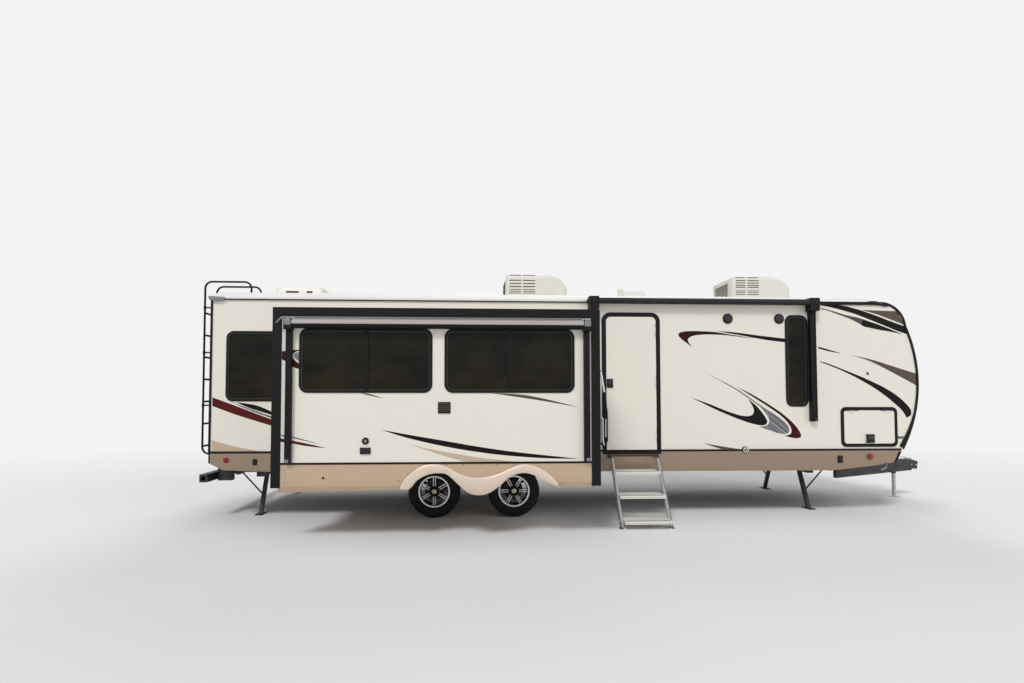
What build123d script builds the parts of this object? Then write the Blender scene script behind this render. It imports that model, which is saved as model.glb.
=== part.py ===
"""Bumper-pull travel trailer with one slide-out room, parked on its jack and stabilizers.

Millimetres. +X points forward to the coupler, +Z up, and the camp side, with the
entry door and the slide-out, faces -Y. The ground is Z = 0, and the origin is the
middle of the whole trailer's footprint. Places along the body are stations: distances
forward from the outer face of the rear wall.
"""
from build123d import *
import os

os.makedirs("parts", exist_ok=True)

# Body
body_length = 9475          # rear wall to the tip of the nose
body_width = 2438           # over the side walls
wall = 50                   # laminated wall panels and nose shell
floor_bottom = 780
floor_thickness = 90
belt_height = 877           # seam between the upper wall and the lower skirt
belt_band = 26              # dark moulding along the seam
header = 133                # wall above the frame of the entry door
roof_edge = 30              # the roof's edge above the wall
roof_crown = 170            # rise of the roof's middle above its edge
nose_roof_setback = 545     # where the roof starts to turn down, behind the nose tip
nose_brow_setback = 155
nose_brow_drop = 320        # brow below the roof's edge
nose_tip_height = 1725
nose_foot_setback = 295
skirt_thickness = 12
rail_trim = 12              # dark trim over the roof edge and the nose seam

# Entry door
door_sill = 831             # underside of its frame
door_tall = 1891
door_width = 790
slide_to_door = 369

# Slide-out room
slide_station = 1252        # its rear side
slide_length = 3478
slide_reach = 1035          # how far its face stands out from the side wall
slide_floor = 905           # underside of its floor
slide_header = 355          # wall above the room
slide_panel = 45            # floor, roof and side panels
slide_gap = 12              # seal gap around the room in the wall opening
slide_overhang = 82         # flange beyond the room on each side
slide_flange = 60           # depth of the flange
slide_lip = 20              # how far the flange laps over the face
slide_lip_proud = 8
slide_belt = 859            # seam between the face and the lower fascia
slide_fascia_ends = (540, 573)
slide_fascia = 25
slide_tail = 35             # how far the room still stands inside the wall

# Running gear
axle_station = 3401         # midway between the two axles
axle_spread = 1052
wheel_track = 2156
tyre_radius = 344.5
tyre_width = 203
rim_radius = 190
rim_width = 172
hub_radius = 40
hub_clearance = 0.3
axle_tube_radius = 30
drum_radius = 128

# Chassis
rail_height = 200
rail_width = 90
rail_plate = 9
rail_spacing = 1600
tongue_beam_height = 150
tongue_beam_width = 60
coupler_ahead = 1055        # coupler's front edge beyond the nose tip
ball_radius = 29.9          # socket for a ball of 2 5/16 inches

# Ladder
ladder_standoff = 190
ladder_tube = 13
ladder_width = 320
ladder_offset = 1010        # outer rail from the body's centreline

# Awnings
awning_reach = 105          # slide awning in front of the slide's face
main_awning_reach = 105

# One fender ribbon flows over both wheels: distances forward of its middle, and heights.
# Its lower edge is also the edge of the wheel arches, and both edges meet in a point in front.
arch_mid_station = 3438
arch_height = 752
ribbon_lower = ((-769, 571), (-735, 604), (-672, 678), (-560, 736), (-445, 752), (-345, 735), (-219, 623), (-110, 534),
                (0, 508), (110, 528), (230, 604), (350, 705), (485, 748), (610, 727), (746, 649), (921, 580))
ribbon_upper = ((-866, 579), (-842, 630), (-782, 715), (-636, 818), (-500, 844), (-367, 822), (-231, 748), (-110, 703),
                (0, 691), (110, 702), (237, 739), (373, 799), (520, 840), (672, 797), (809, 704), (921, 580))
fender_depth = 30

wall_top = door_sill + door_tall + header
roof_edge_height = wall_top + roof_edge
slide_top = wall_top - slide_header
door_station = slide_station + slide_length + slide_to_door + door_width / 2
door_height = door_sill + door_tall / 2
rail_bottom = floor_bottom - rail_height
floor_top = floor_bottom + floor_thickness
ladder_reach = ladder_standoff + ladder_tube
overall_length = ladder_reach + body_length + coupler_ahead
camp_reach = body_width / 2 + slide_reach + awning_reach
road_reach = body_width / 2 + skirt_thickness + fender_depth
x_rear = ladder_reach - overall_length / 2
x_nose = x_rear + body_length
y_mid = (camp_reach - road_reach) / 2
y_camp = y_mid - body_width / 2
y_road = y_mid + body_width / 2
y_slide = y_camp - slide_reach
x_roof_end = x_nose - nose_roof_setback


def block(x, y, z, mode=Mode.ADD):
    """A box between two places along each axis, in the current part."""
    with Locations(((x[0] + x[1]) / 2, (y[0] + y[1]) / 2, (z[0] + z[1]) / 2)):
        Box(x[1] - x[0], y[1] - y[0], z[1] - z[0], mode=mode)


def along_x(x, y, z, radius, mode=Mode.ADD):
    """A round bar along X in the current part."""
    with Locations(Location(((x[0] + x[1]) / 2, y, z), (0, 90, 0))):
        Cylinder(radius, x[1] - x[0], mode=mode)


def along_y(x, y, z, radius, mode=Mode.ADD):
    """A round bar along Y in the current part."""
    with Locations(Location((x, (y[0] + y[1]) / 2, z), (90, 0, 0))):
        Cylinder(radius, y[1] - y[0], mode=mode)


def along_z(x, y, z, radius, mode=Mode.ADD):
    """A round bar along Z in the current part."""
    with Locations((x, y, (z[0] + z[1]) / 2)):
        Cylinder(radius, z[1] - z[0], mode=mode)


def side_plane(y):
    """Sketch plane at y whose normal is -Y: sketch x is X and sketch y is Z."""
    return Plane.XZ.offset(-y)


def save(piece, label):
    """Label a finished piece and write its file."""
    piece.part.label = label
    export_step(piece.part, "parts/" + label + ".step")


def panel(x, z, width, height, radius, y, depth, mode=Mode.ADD):
    """A rounded upright plate from y towards -Y, centred at x and z, in the current part."""
    with BuildSketch(side_plane(y), mode=Mode.PRIVATE) as plate:
        with Locations((x, z)):
            RectangleRounded(width, height, radius)
    extrude(plate.sketch, amount=depth, mode=mode)


def side_outline(y):
    """Outline of a side of the body, with the rounded nose, at y."""
    roof_start = (x_roof_end, roof_edge_height)
    brow_mid = (x_nose - nose_roof_setback / 2, roof_edge_height - 88)
    brow = (x_nose - nose_brow_setback, roof_edge_height - nose_brow_drop)
    tip = (x_nose, nose_tip_height)
    foot = (x_nose - nose_foot_setback, floor_bottom)
    with BuildSketch(side_plane(y), mode=Mode.PRIVATE) as outline:
        with BuildLine():
            ThreePointArc(roof_start, brow_mid, brow)
            ThreePointArc(brow, tip, foot)
            Polyline(foot, (x_rear, floor_bottom), (x_rear, wall_top), (x_roof_end, wall_top), roof_start)
        make_face()
    return outline.sketch


arch_low = 450              # below the lowest point of both arches


def arch_opening(y, x_mid):
    """Everything below the ribbon's lower edge, at y."""
    edge = [(x_mid + ahead, height) for ahead, height in ribbon_lower]
    with BuildSketch(side_plane(y), mode=Mode.PRIVATE) as opening:
        with BuildLine():
            Spline(*edge)
            Polyline(edge[-1], (edge[-1][0], arch_low), (edge[0][0], arch_low), edge[0])
        make_face()
    return opening.sketch


def ribbon(y, x_mid):
    """The fender ribbon between its two flowing edges, at y."""
    lower = [(x_mid + ahead, height) for ahead, height in ribbon_lower]
    upper = [(x_mid + ahead, height) for ahead, height in ribbon_upper]
    with BuildSketch(side_plane(y), mode=Mode.PRIVATE) as band:
        with BuildLine():
            Spline(*lower)
            Spline(*reversed(upper))
            Line(upper[0], lower[0])
        make_face()
    return band.sketch


# Chassis: two rails with hangers for the springs and sleeves for the slide's arms
rail_start = wall
rail_end = 8900
rail_ys = (y_mid - rail_spacing / 2, y_mid + rail_spacing / 2)
axle_stations = (axle_station - axle_spread / 2, axle_station + axle_spread / 2)
wheel_height = tyre_radius
spring_half = 280
spring_thickness = 25
spring_width = 44
eye_height = 470
eye_radius = 17
pin_radius = 7.9
pin_gap = 0.3
ear = 6
ear_gap = 2
arm_setback = 450
arm_tyre_gap = 15.5
arm_stations = (slide_station + arm_setback, axle_stations[1] + tyre_radius + arm_tyre_gap)
arm_width = 80
arm_height = 60
arm_z = 700
arm_gap = 0.5
sleeve_wall = 8
sleeve_width = arm_width + 2 * arm_gap + 2 * sleeve_wall
sleeve_height = arm_height + 2 * arm_gap + 2 * sleeve_wall
sleeve_start = 20
sleeve_length = 1000
ear_inner = spring_width / 2 + ear_gap
outer_eyes = (axle_stations[0] - spring_half, axle_stations[1] + spring_half)
inner_eyes = (axle_stations[0] + spring_half, axle_stations[1] - spring_half)

with BuildPart() as chassis_rails:
    with BuildSketch(Plane.YZ.offset(x_rear + rail_start)):
        for y in rail_ys:
            with Locations((y, floor_bottom - rail_height / 2)):
                Rectangle(rail_width, rail_height)
            for side in (-1, 1):
                recess = (rail_width - rail_plate) / 2
                with Locations((y + side * (rail_plate + recess) / 2, floor_bottom - rail_height / 2)):
                    Rectangle(recess, rail_height - 2 * rail_plate, mode=Mode.SUBTRACT)
    extrude(amount=rail_end - rail_start)
    for y in rail_ys:
        for station in outer_eyes:
            x = x_rear + station
            for side in (-1, 1):
                near = y + side * ear_inner
                far = near + side * ear
                block((x - 25, x + 25), sorted((near, far)), (eye_height - 22, rail_bottom))
            along_y(x, (y - ear_inner - ear, y + ear_inner + ear), eye_height, pin_radius)
        x = x_rear + axle_station
        block((x - 30, x + 30), (y - 20, y + 20), (eye_height - 24, rail_bottom))
        along_y(x, (y - 30, y + 30), eye_height, pin_radius + pin_gap, mode=Mode.SUBTRACT)
    for station in arm_stations:
        x = x_rear + station
        y = (y_camp + sleeve_start, y_camp + sleeve_start + sleeve_length)
        block((x - sleeve_width / 2, x + sleeve_width / 2), y,
              (arm_z - sleeve_height / 2, arm_z + sleeve_height / 2))
        block((x - arm_width / 2 - arm_gap, x + arm_width / 2 + arm_gap), y,
              (arm_z - arm_height / 2 - arm_gap, arm_z + arm_height / 2 + arm_gap), mode=Mode.SUBTRACT)
save(chassis_rails, "chassis_rails")

crossmember_stations = (90, 1010, 1930, 2560, 3401, 4550, 5500, 6450, 7400, 8350)
crossmember_width = 50
crossmember_height = 110
with BuildPart() as crossmembers:
    for station in crossmember_stations:
        block((x_rear + station - crossmember_width / 2, x_rear + station + crossmember_width / 2),
              (rail_ys[0] + rail_plate / 2, rail_ys[1] - rail_plate / 2),
              (floor_bottom - rail_plate - 20 - crossmember_height, floor_bottom - rail_plate - 20))
save(crossmembers, "crossmembers")

# A-frame tongue
tongue_start = 8576
coupler_station = body_length + coupler_ahead - 60
tongue_tip = coupler_station - 110
tongue_top = rail_bottom
tongue_bottom = tongue_top - tongue_beam_height
tongue_tip_offset = 62
with BuildPart() as a_frame:
    with BuildSketch(Plane.XY.offset(tongue_bottom)):
        for side in (-1, 1):
            back = (x_rear + tongue_start, y_mid + side * rail_spacing / 2)
            tip = (x_rear + tongue_tip, y_mid + side * tongue_tip_offset)
            half = tongue_beam_width / 2
            with BuildLine():
                Polyline((back[0], back[1] - half), (tip[0], tip[1] - half), (tip[0], tip[1] + half),
                         (back[0], back[1] + half), close=True)
            make_face()
    extrude(amount=tongue_beam_height)
save(a_frame, "a_frame")

# Ball coupler on the tips of the A-frame
ball_height = tongue_bottom + 40
socket_wall = 14
socket_depth = 52
coupler_plate = 12
with BuildPart() as coupler:
    x = x_rear + coupler_station
    along_z(x, y_mid, (ball_height - 26, ball_height + 52), ball_radius + socket_wall)
    with BuildSketch(Plane.XY.offset(ball_height - 10)):
        with BuildLine():
            Polyline((x_rear + tongue_tip, y_mid - 92), (x - 8, y_mid - ball_radius - 8),
                     (x - 8, y_mid + ball_radius + 8), (x_rear + tongue_tip, y_mid + 92), close=True)
        make_face()
    extrude(amount=tongue_top - ball_height + 10)
    block((x_rear + tongue_tip - 110, x_rear + tongue_tip + 30), (y_mid - 92, y_mid + 92),
          (tongue_top, tongue_top + coupler_plate))
    block((x - 60, x + 60), (y_mid - 9, y_mid + 9), (ball_height + 40, ball_height + 92))
    along_z(x, y_mid, (ball_height - 26, ball_height - 26 + socket_depth), ball_radius, mode=Mode.SUBTRACT)
save(coupler, "coupler")

# Tray over the A-frame, which carries the gas cover
tray_station = 9500
tray_length = 520
tray_thickness = 8
with BuildPart() as tongue_tray:
    back = x_rear + tray_station
    front = back + tray_length
    block((back, front), (y_mid - 330, y_mid + 330), (tongue_top, tongue_top + tray_thickness))
save(tongue_tray, "tongue_tray")

cover_width = 620
cover_height = 500
with BuildPart() as propane_cover:
    bottom = tongue_top + tray_thickness
    with BuildSketch(Plane.XY.offset(bottom)):
        with Locations((back + tray_length / 2, y_mid)):
            RectangleRounded(tray_length - 60, cover_width, 150)
    extrude(amount=cover_height, taper=5)
    fillet(propane_cover.faces().sort_by(Axis.Z)[-1].edges(), 60)
save(propane_cover, "propane_cover")

# Tongue jack
jack_station = 10130
jack_radius = 32
jack_bore = 27
jack_leg_radius = 26.5
jack_top = 1080
jack_foot_radius = 75
with BuildPart() as jack_tube:
    x = x_rear + jack_station
    along_z(x, y_mid, (tongue_bottom - 60, jack_top), jack_radius)
    block((x - 75, x + 75), (y_mid - 155, y_mid + 155), (tongue_top, tongue_top + 12))
    with BuildSketch(Plane.XY.offset(jack_top)):
        with Locations((x + 10, y_mid)):
            RectangleRounded(170, 120, 35)
    extrude(amount=150, taper=4)
    along_z(x, y_mid, (tongue_bottom - 61, jack_top - 40), jack_bore, mode=Mode.SUBTRACT)
save(jack_tube, "jack_tube")

with BuildPart() as jack_leg:
    along_z(x, y_mid, (10, tongue_top + 110), jack_leg_radius)
    along_z(x, y_mid, (0, 12), jack_foot_radius)
save(jack_leg, "jack_leg")

# Rear bumper
bumper_size = 100
bumper_height = 534
bumper_half = 1130
bumper_gap = 60
bumper_wall = 6
bumper_bracket_end = 124
bumper_bracket_bottom = 462
with BuildPart() as rear_bumper:
    x = (x_rear - bumper_gap - bumper_size, x_rear - bumper_gap)
    z = (bumper_height - bumper_size / 2, bumper_height + bumper_size / 2)
    block(x, (y_mid - bumper_half, y_mid + bumper_half), z)
    block((x[0] + bumper_wall, x[1] - bumper_wall), (y_mid - bumper_half + 4, y_mid + bumper_half - 4),
          (z[0] + bumper_wall, z[1] - bumper_wall), mode=Mode.SUBTRACT)
    along_y(sum(x) / 2, (y_mid - bumper_half - 1, y_mid + bumper_half + 1), bumper_height, 30, mode=Mode.SUBTRACT)
    for y in rail_ys:
        block((x[1], x_rear + rail_start), (y - rail_width / 2, y + rail_width / 2), (bumper_bracket_bottom, 730))
        block((x_rear + rail_start, x_rear + bumper_bracket_end), (y - rail_width / 2, y + rail_width / 2),
              (bumper_bracket_bottom, rail_bottom))
save(rear_bumper, "rear_bumper")

# Stabilizers, each a short beam under a rail, a splayed leg with a foot, and a diagonal brace.
# For each: its station, its side and whether its brace runs forward or back.
stabilizers = ((505, -1, -1), (505, 1, -1), (8175, -1, 1), (8480, 1, -1))
stabilizer_beam = 60
underbelly_thickness = 8
leg_top_offset = 610
leg_foot_offset = 806
leg_width = 46
leg_depth = 50
foot_length = 180
foot_thickness = 12
brace_run = 300
brace_share = 0.45          # height of the brace's foot on the leg
brace_radius = 10
beam_top = rail_bottom - underbelly_thickness
with BuildPart() as stabilizer_beams:
    for station, side, brace in stabilizers:
        x = x_rear + station
        block((x - 45, x + 45), sorted((y_mid + side * (leg_top_offset - 60), y_mid + side * 860)),
              (beam_top - stabilizer_beam, beam_top))
save(stabilizer_beams, "stabilizer_beams")

with BuildPart() as stabilizer_legs:
    for station, side, brace in stabilizers:
        x = x_rear + station
        top = (y_mid + side * leg_top_offset, beam_top - stabilizer_beam)
        foot = (y_mid + side * leg_foot_offset, foot_thickness)
        with BuildSketch(Plane.YZ.offset(x - leg_depth / 2)):
            with BuildLine():
                Polyline((top[0] - leg_width / 2, top[1]), (top[0] + leg_width / 2, top[1]),
                         (foot[0] + leg_width / 2, foot[1]), (foot[0] - leg_width / 2, foot[1]), close=True)
            make_face()
        extrude(amount=leg_depth)
        block((x - 50, x + 50), (foot[0] - foot_length / 2, foot[0] + foot_length / 2), (0, foot_thickness))
        brace_foot = Vector(x, foot[0] + (top[0] - foot[0]) * brace_share, foot[1] + (top[1] - foot[1]) * brace_share)
        brace_top = Vector(x + brace * brace_run, brace_foot.Y, beam_top - brace_radius)
        with BuildSketch(Plane(brace_foot, z_dir=brace_top - brace_foot)):
            Circle(brace_radius)
        extrude(amount=(brace_top - brace_foot).length)
        shoe = (brace_foot.Y - side * 20, y_mid + side * 860)
        block((brace_top.X - 25, brace_top.X + 25), sorted(shoe), (beam_top - 3 * brace_radius, beam_top))
save(stabilizer_legs, "stabilizer_legs")

# Underbelly panels below the rails, open over the axles
underbelly_spans = ((200, 2400), (4450, 8570))
underbelly_half = rail_spacing / 2 + rail_width / 2
with BuildPart() as underbelly:
    for start, stop in underbelly_spans:
        block((x_rear + start, x_rear + stop), (y_mid - underbelly_half, y_mid + underbelly_half),
              (beam_top, rail_bottom))
save(underbelly, "underbelly")

# Axles with their brake drums
wheel_ys = (y_mid - wheel_track / 2, y_mid + wheel_track / 2)
spindle_reach = 40
with BuildPart() as axles:
    for station in axle_stations:
        x = x_rear + station
        along_y(x, (wheel_ys[0] + 150, wheel_ys[1] - 150), wheel_height, axle_tube_radius)
        for wheel_y, inward in zip(wheel_ys, (1, -1)):
            drum = sorted((wheel_y + inward * 20, wheel_y + inward * 130))
            along_y(x, drum, wheel_height, drum_radius)
            neck = sorted((wheel_y + inward * 120, wheel_y + inward * 200))
            along_y(x, neck, wheel_height, axle_tube_radius + 20)
            spindle = sorted((wheel_y + inward * 30, wheel_y - inward * spindle_reach))
            along_y(x, spindle, wheel_height, hub_radius)
        for y in rail_ys:
            seat_top = wheel_height + axle_tube_radius
            block((x - 45, x + 45), (y - spring_width / 2, y + spring_width / 2), (wheel_height, seat_top))
save(axles, "axles")

# Leaf springs, each an arched strip with an eye at both ends
with BuildPart() as leaf_springs:
    seat_top = wheel_height + axle_tube_radius
    for y in rail_ys:
        for station in axle_stations:
            x = x_rear + station
            half = spring_thickness / 2
            with BuildSketch(side_plane(y + spring_width / 2)):
                with BuildLine():
                    ThreePointArc((x - spring_half, eye_height - half), (x, seat_top), (x + spring_half, eye_height - half))
                    Line((x + spring_half, eye_height - half), (x + spring_half, eye_height + half))
                    ThreePointArc((x + spring_half, eye_height + half), (x, seat_top + spring_thickness),
                                  (x - spring_half, eye_height + half))
                    Line((x - spring_half, eye_height + half), (x - spring_half, eye_height - half))
                make_face()
                with Locations((x - spring_half, eye_height), (x + spring_half, eye_height)):
                    Circle(eye_radius)
                    Circle(pin_radius + pin_gap, mode=Mode.SUBTRACT)
            extrude(amount=spring_width)
    # Equalizers: two plates and three pins that join the inner eyes to the middle hanger
    for y in rail_ys:
        for side in (-1, 1):
            near = y + side * ear_inner
            far = near + side * ear
            block((x_rear + inner_eyes[0] - 20, x_rear + inner_eyes[1] + 20), sorted((near, far)),
                  (eye_height - 20, eye_height + 20))
        for station in (inner_eyes[0], axle_station, inner_eyes[1]):
            along_y(x_rear + station, (y - ear_inner - ear, y + ear_inner + ear), eye_height, pin_radius)
save(leaf_springs, "leaf_springs")

# Wheels
rim_barrel = 9
rim_flange = 207
rim_flange_thickness = 9
spoke_pairs = 6
spoke_width = 16
spoke_depth = 22
spoke_spread = 17
rim_hub_radius = 68
rim_face = 62               # outer face of the spokes, from the wheel's middle
tyre_bead_half = rim_width / 2 - rim_flange_thickness - 1
cap_radius = 46
boss_radius = 34
wheel_names = (("rear", 0, 90), ("front", 1, 0))     # name, axle, angle at which the spokes start
for side_name, wheel_y, outward in (("camp", wheel_ys[0], -1), ("road", wheel_ys[1], 1)):
    for row_name, row, first_angle in wheel_names:
        x = x_rear + axle_stations[row]
        spin = Axis((x, 0, wheel_height), (0, 1, 0))
        with BuildPart() as tyre:
            with BuildSketch(Plane.YZ.offset(x)):
                inner = wheel_height + rim_radius + hub_clearance
                crown = wheel_height + tyre_radius
                half = tyre_width / 2
                with BuildLine():
                    Polyline((wheel_y - half + 4, inner + 78), (wheel_y - tyre_bead_half, inner + 22),
                             (wheel_y - tyre_bead_half, inner), (wheel_y + tyre_bead_half, inner),
                             (wheel_y + tyre_bead_half, inner + 22), (wheel_y + half - 4, inner + 78))
                    ThreePointArc((wheel_y + half - 4, inner + 78), (wheel_y + half - 6, crown - 46),
                                  (wheel_y + half - 28, crown - 10))
                    ThreePointArc((wheel_y + half - 28, crown - 10), (wheel_y, crown), (wheel_y - half + 28, crown - 10))
                    ThreePointArc((wheel_y - half + 28, crown - 10), (wheel_y - half + 6, crown - 46),
                                  (wheel_y - half + 4, inner + 78))
                make_face()
            revolve(axis=spin, revolution_arc=360)
        save(tyre, "tyre_" + side_name + "_" + row_name)

        with BuildPart() as rim:
            with BuildSketch(Plane.YZ.offset(x)):
                half = rim_width / 2
                with Locations((wheel_y, wheel_height + rim_radius - rim_barrel / 2)):
                    Rectangle(rim_width, rim_barrel)
                for end in (-1, 1):
                    flange_y = wheel_y + end * (half - rim_flange_thickness / 2)
                    with Locations((flange_y, wheel_height + (rim_radius - rim_barrel + rim_flange) / 2)):
                        Rectangle(rim_flange_thickness, rim_flange - rim_radius + rim_barrel)
            revolve(axis=spin, revolution_arc=360)
            face_y = wheel_y + outward * rim_face
            back_y = face_y - outward * spoke_depth
            along_y(x, sorted((face_y, back_y)), wheel_height, rim_hub_radius)
            spoke_start = rim_hub_radius - 12
            spoke_stop = rim_radius - rim_barrel / 2
            with BuildSketch(side_plane(max(face_y, back_y))):
                for number in range(spoke_pairs):
                    angle = first_angle + 360 / spoke_pairs * number
                    for side in (-1, 1):
                        turned = Rot(0, 0, angle)
                        with Locations(Location((x, wheel_height), 0) * turned
                                       * Location(((spoke_start + spoke_stop) / 2, side * spoke_spread))):
                            Rectangle(spoke_stop - spoke_start, spoke_width)
            extrude(amount=spoke_depth)
            along_y(x, sorted((face_y + outward, back_y - outward)), wheel_height, hub_radius + hub_clearance,
                    mode=Mode.SUBTRACT)
            along_y(x, sorted((face_y - outward * 4, face_y + outward * 3)), wheel_height, cap_radius)
            along_y(x, sorted((face_y, face_y + outward * 16)), wheel_height, boss_radius)
        save(rim, "rim_" + side_name + "_" + row_name)


# Floor deck and roof
floor_nose_setback = 352
with BuildPart() as floor_deck:
    block((x_rear + wall, x_nose - floor_nose_setback), (y_camp + wall, y_road - wall), (floor_bottom, floor_top))
save(floor_deck, "floor_deck")

roof_shoulder = 139         # run of the steep edge of the crown
roof_haunch = 359
roof_nose_taper = 520
with BuildPart() as roof:
    edge = roof_edge_height
    with BuildSketch(Plane.YZ.offset(x_rear)):
        with BuildLine():
            Polyline((y_camp, edge), (y_camp, wall_top), (y_road, wall_top), (y_road, edge))
            ThreePointArc((y_road, edge), (y_road - roof_shoulder, edge + roof_crown * 0.47),
                          (y_road - roof_haunch, edge + roof_crown * 0.72))
            ThreePointArc((y_road - roof_haunch, edge + roof_crown * 0.72), (y_mid, edge + roof_crown),
                          (y_camp + roof_haunch, edge + roof_crown * 0.72))
            ThreePointArc((y_camp + roof_haunch, edge + roof_crown * 0.72),
                          (y_camp + roof_shoulder, edge + roof_crown * 0.47), (y_camp, edge))
        make_face()
    extrude(amount=x_roof_end - x_rear)
    with BuildSketch(side_plane(y_road + 1)):
        top = edge + roof_crown
        with BuildLine():
            ThreePointArc((x_roof_end - roof_nose_taper, top + 4), (x_roof_end - 210, top - 50), (x_roof_end, edge))
            Polyline((x_roof_end, edge), (x_roof_end + 20, edge), (x_roof_end + 20, top + 40),
                     (x_roof_end - roof_nose_taper, top + 40), (x_roof_end - roof_nose_taper, top + 4))
        make_face()
    extrude(amount=body_width + 2, mode=Mode.SUBTRACT)
save(roof, "roof")

# Windows: side, station of the centre, height of the centre, width, height
window_radius = 95
window_bar = 34
window_neck = 12            # from the window's outer edge to the hole in the wall
window_proud = 9
mullion = 26
windows = (
    ("camp", 577, wall_top - 867, 762, 912),
    ("camp", 7773, wall_top - 774, 314, 1246),
    ("road", 1500, wall_top - 805, 914, 560),
    ("road", 4300, wall_top - 805, 1219, 560),
    ("road", 7700, wall_top - 774, 302, 1231),
)
slide_window_margin = 209
slide_window_gap = 133
slide_window_width = (slide_length - 2 * slide_window_margin - slide_window_gap) / 2
slide_window_inset = slide_window_margin + slide_window_width / 2
slide_windows = (
    (slide_station + slide_window_inset, slide_top - 507, slide_window_width, 717),
    (slide_station + slide_length - slide_window_inset, slide_top - 507, slide_window_width, 717),
)

# Doors: station of the centre, height of the centre, width, height
door_radius = 118
door_bar = 54
door_neck = 20
door_gap = 5
door_proud = 10
door_slab_proud = 12
door_thickness = 36
bay_station, bay_height, bay_width, bay_tall = 8770, 1183, 794, 540
bay_radius = 72
bay_bar = 40
bay_neck = 15


def door_panel(x, z, width, height, radius, y, depth, mode=Mode.ADD):
    """An upright plate with rounded upper corners and square lower ones, in the current part."""
    panel(x, z, width, height, radius, y, depth, mode)
    block((x - width / 2, x + width / 2), (y - depth, y), (z - height / 2, z), mode)


slide_x = (x_rear + slide_station, x_rear + slide_station + slide_length)
opening_bottom = slide_floor - 20

with BuildPart() as camp_wall:
    extrude(side_outline(y_camp + wall), amount=wall)
    for side_name, station, height, width, tall in windows:
        if side_name == "camp":
            panel(x_rear + station, height, width - 2 * window_neck, tall - 2 * window_neck,
                  window_radius - window_neck, y_camp + wall, wall, mode=Mode.SUBTRACT)
    door_panel(x_rear + door_station, door_height, door_width - 2 * door_neck, door_tall - 2 * door_neck,
               door_radius - door_neck, y_camp + wall, wall, mode=Mode.SUBTRACT)
    panel(x_rear + bay_station, bay_height, bay_width - 2 * bay_neck, bay_tall - 2 * bay_neck,
          bay_radius - bay_neck, y_camp + wall, wall, mode=Mode.SUBTRACT)
    block((slide_x[0] - slide_gap, slide_x[1] + slide_gap), (y_camp, y_camp + wall),
          (opening_bottom, slide_top + slide_gap), mode=Mode.SUBTRACT)
save(camp_wall, "camp_wall")

with BuildPart() as road_wall:
    extrude(side_outline(y_road), amount=wall)
    for side_name, station, height, width, tall in windows:
        if side_name == "road":
            panel(x_rear + station, height, width - 2 * window_neck, tall - 2 * window_neck,
                  window_radius - window_neck, y_road, wall, mode=Mode.SUBTRACT)
    panel(x_rear + bay_station, bay_height, bay_width - 2 * bay_neck, bay_tall - 2 * bay_neck,
          bay_radius - bay_neck, y_road, wall, mode=Mode.SUBTRACT)
save(road_wall, "road_wall")

rear_wall_bottom = 745
with BuildPart() as rear_wall:
    block((x_rear, x_rear + wall), (y_camp + wall, y_road - wall), (rear_wall_bottom, wall_top))
save(rear_wall, "rear_wall")

# Nose shell between the side walls
with BuildPart() as front_cap:
    with BuildSketch(side_plane(y_road - wall)):
        add(side_outline(y_road - wall))
        offset(side_outline(y_road - wall), amount=-wall, mode=Mode.SUBTRACT)
        with Locations(((x_rear + x_roof_end) / 2 - 500, (floor_bottom + wall_top) / 2)):
            Rectangle(x_roof_end - x_rear + 1000, wall_top - floor_bottom + 400, mode=Mode.SUBTRACT)
        with Locations(((x_nose - floor_nose_setback) - 500, floor_top / 2)):
            Rectangle(1000, floor_top + 60, mode=Mode.SUBTRACT)
    extrude(amount=body_width - 2 * wall)
save(front_cap, "front_cap")

# Dark trim: along both roof edges, over the nose seams, down the rear corners and along the belt
trim_band = 55
corner_trim = 18
rail_top = roof_edge_height + 4
rail_low = wall_top - 4
belt_proud = 14
belt_break = 12             # where the moulding stops beside the slide's flange
belt_span = (belt_height - belt_band / 2, belt_height + belt_band / 2)
skirt_nose_setback = 262
with BuildPart() as body_trim:
    for y, inward in ((y_camp, 1), (y_road, -1)):
        outer = (sorted((y, y - inward * rail_trim)))
        block((x_rear, x_roof_end), outer, (rail_low, rail_top))
        block((x_rear - 8, x_rear), sorted((y - inward * rail_trim, y + inward * trim_band)), (belt_height, rail_top))
        block((x_rear, x_rear + corner_trim), outer, (belt_height, rail_top))
        block((x_rear, x_nose - skirt_nose_setback - 4), sorted((y, y - inward * belt_proud)), belt_span)
        with BuildSketch(side_plane(max(y - inward * rail_trim, y + inward * trim_band))):
            offset(side_outline(0), amount=8)
            add(side_outline(0), mode=Mode.SUBTRACT)
            with Locations(((x_rear + x_roof_end) / 2 - 500, 1800)):
                Rectangle(x_roof_end - x_rear + 1000, 3000, mode=Mode.SUBTRACT)
            with Locations((x_nose - 500, belt_height / 2)):
                Rectangle(1200, belt_height, mode=Mode.SUBTRACT)
        extrude(amount=trim_band + rail_trim)
    block((x_rear - 8, x_rear), (y_camp - rail_trim, y_road + rail_trim), belt_span)
    block((x_rear + door_station - door_width / 2, x_rear + door_station + door_width / 2),
          (y_camp - belt_proud, y_camp), belt_span, mode=Mode.SUBTRACT)
    block((x_rear + slide_station - slide_overhang - belt_break,
           x_rear + slide_station + slide_length + slide_overhang + belt_break),
          (y_camp - belt_proud, y_camp), belt_span, mode=Mode.SUBTRACT)
save(body_trim, "body_trim")

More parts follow.
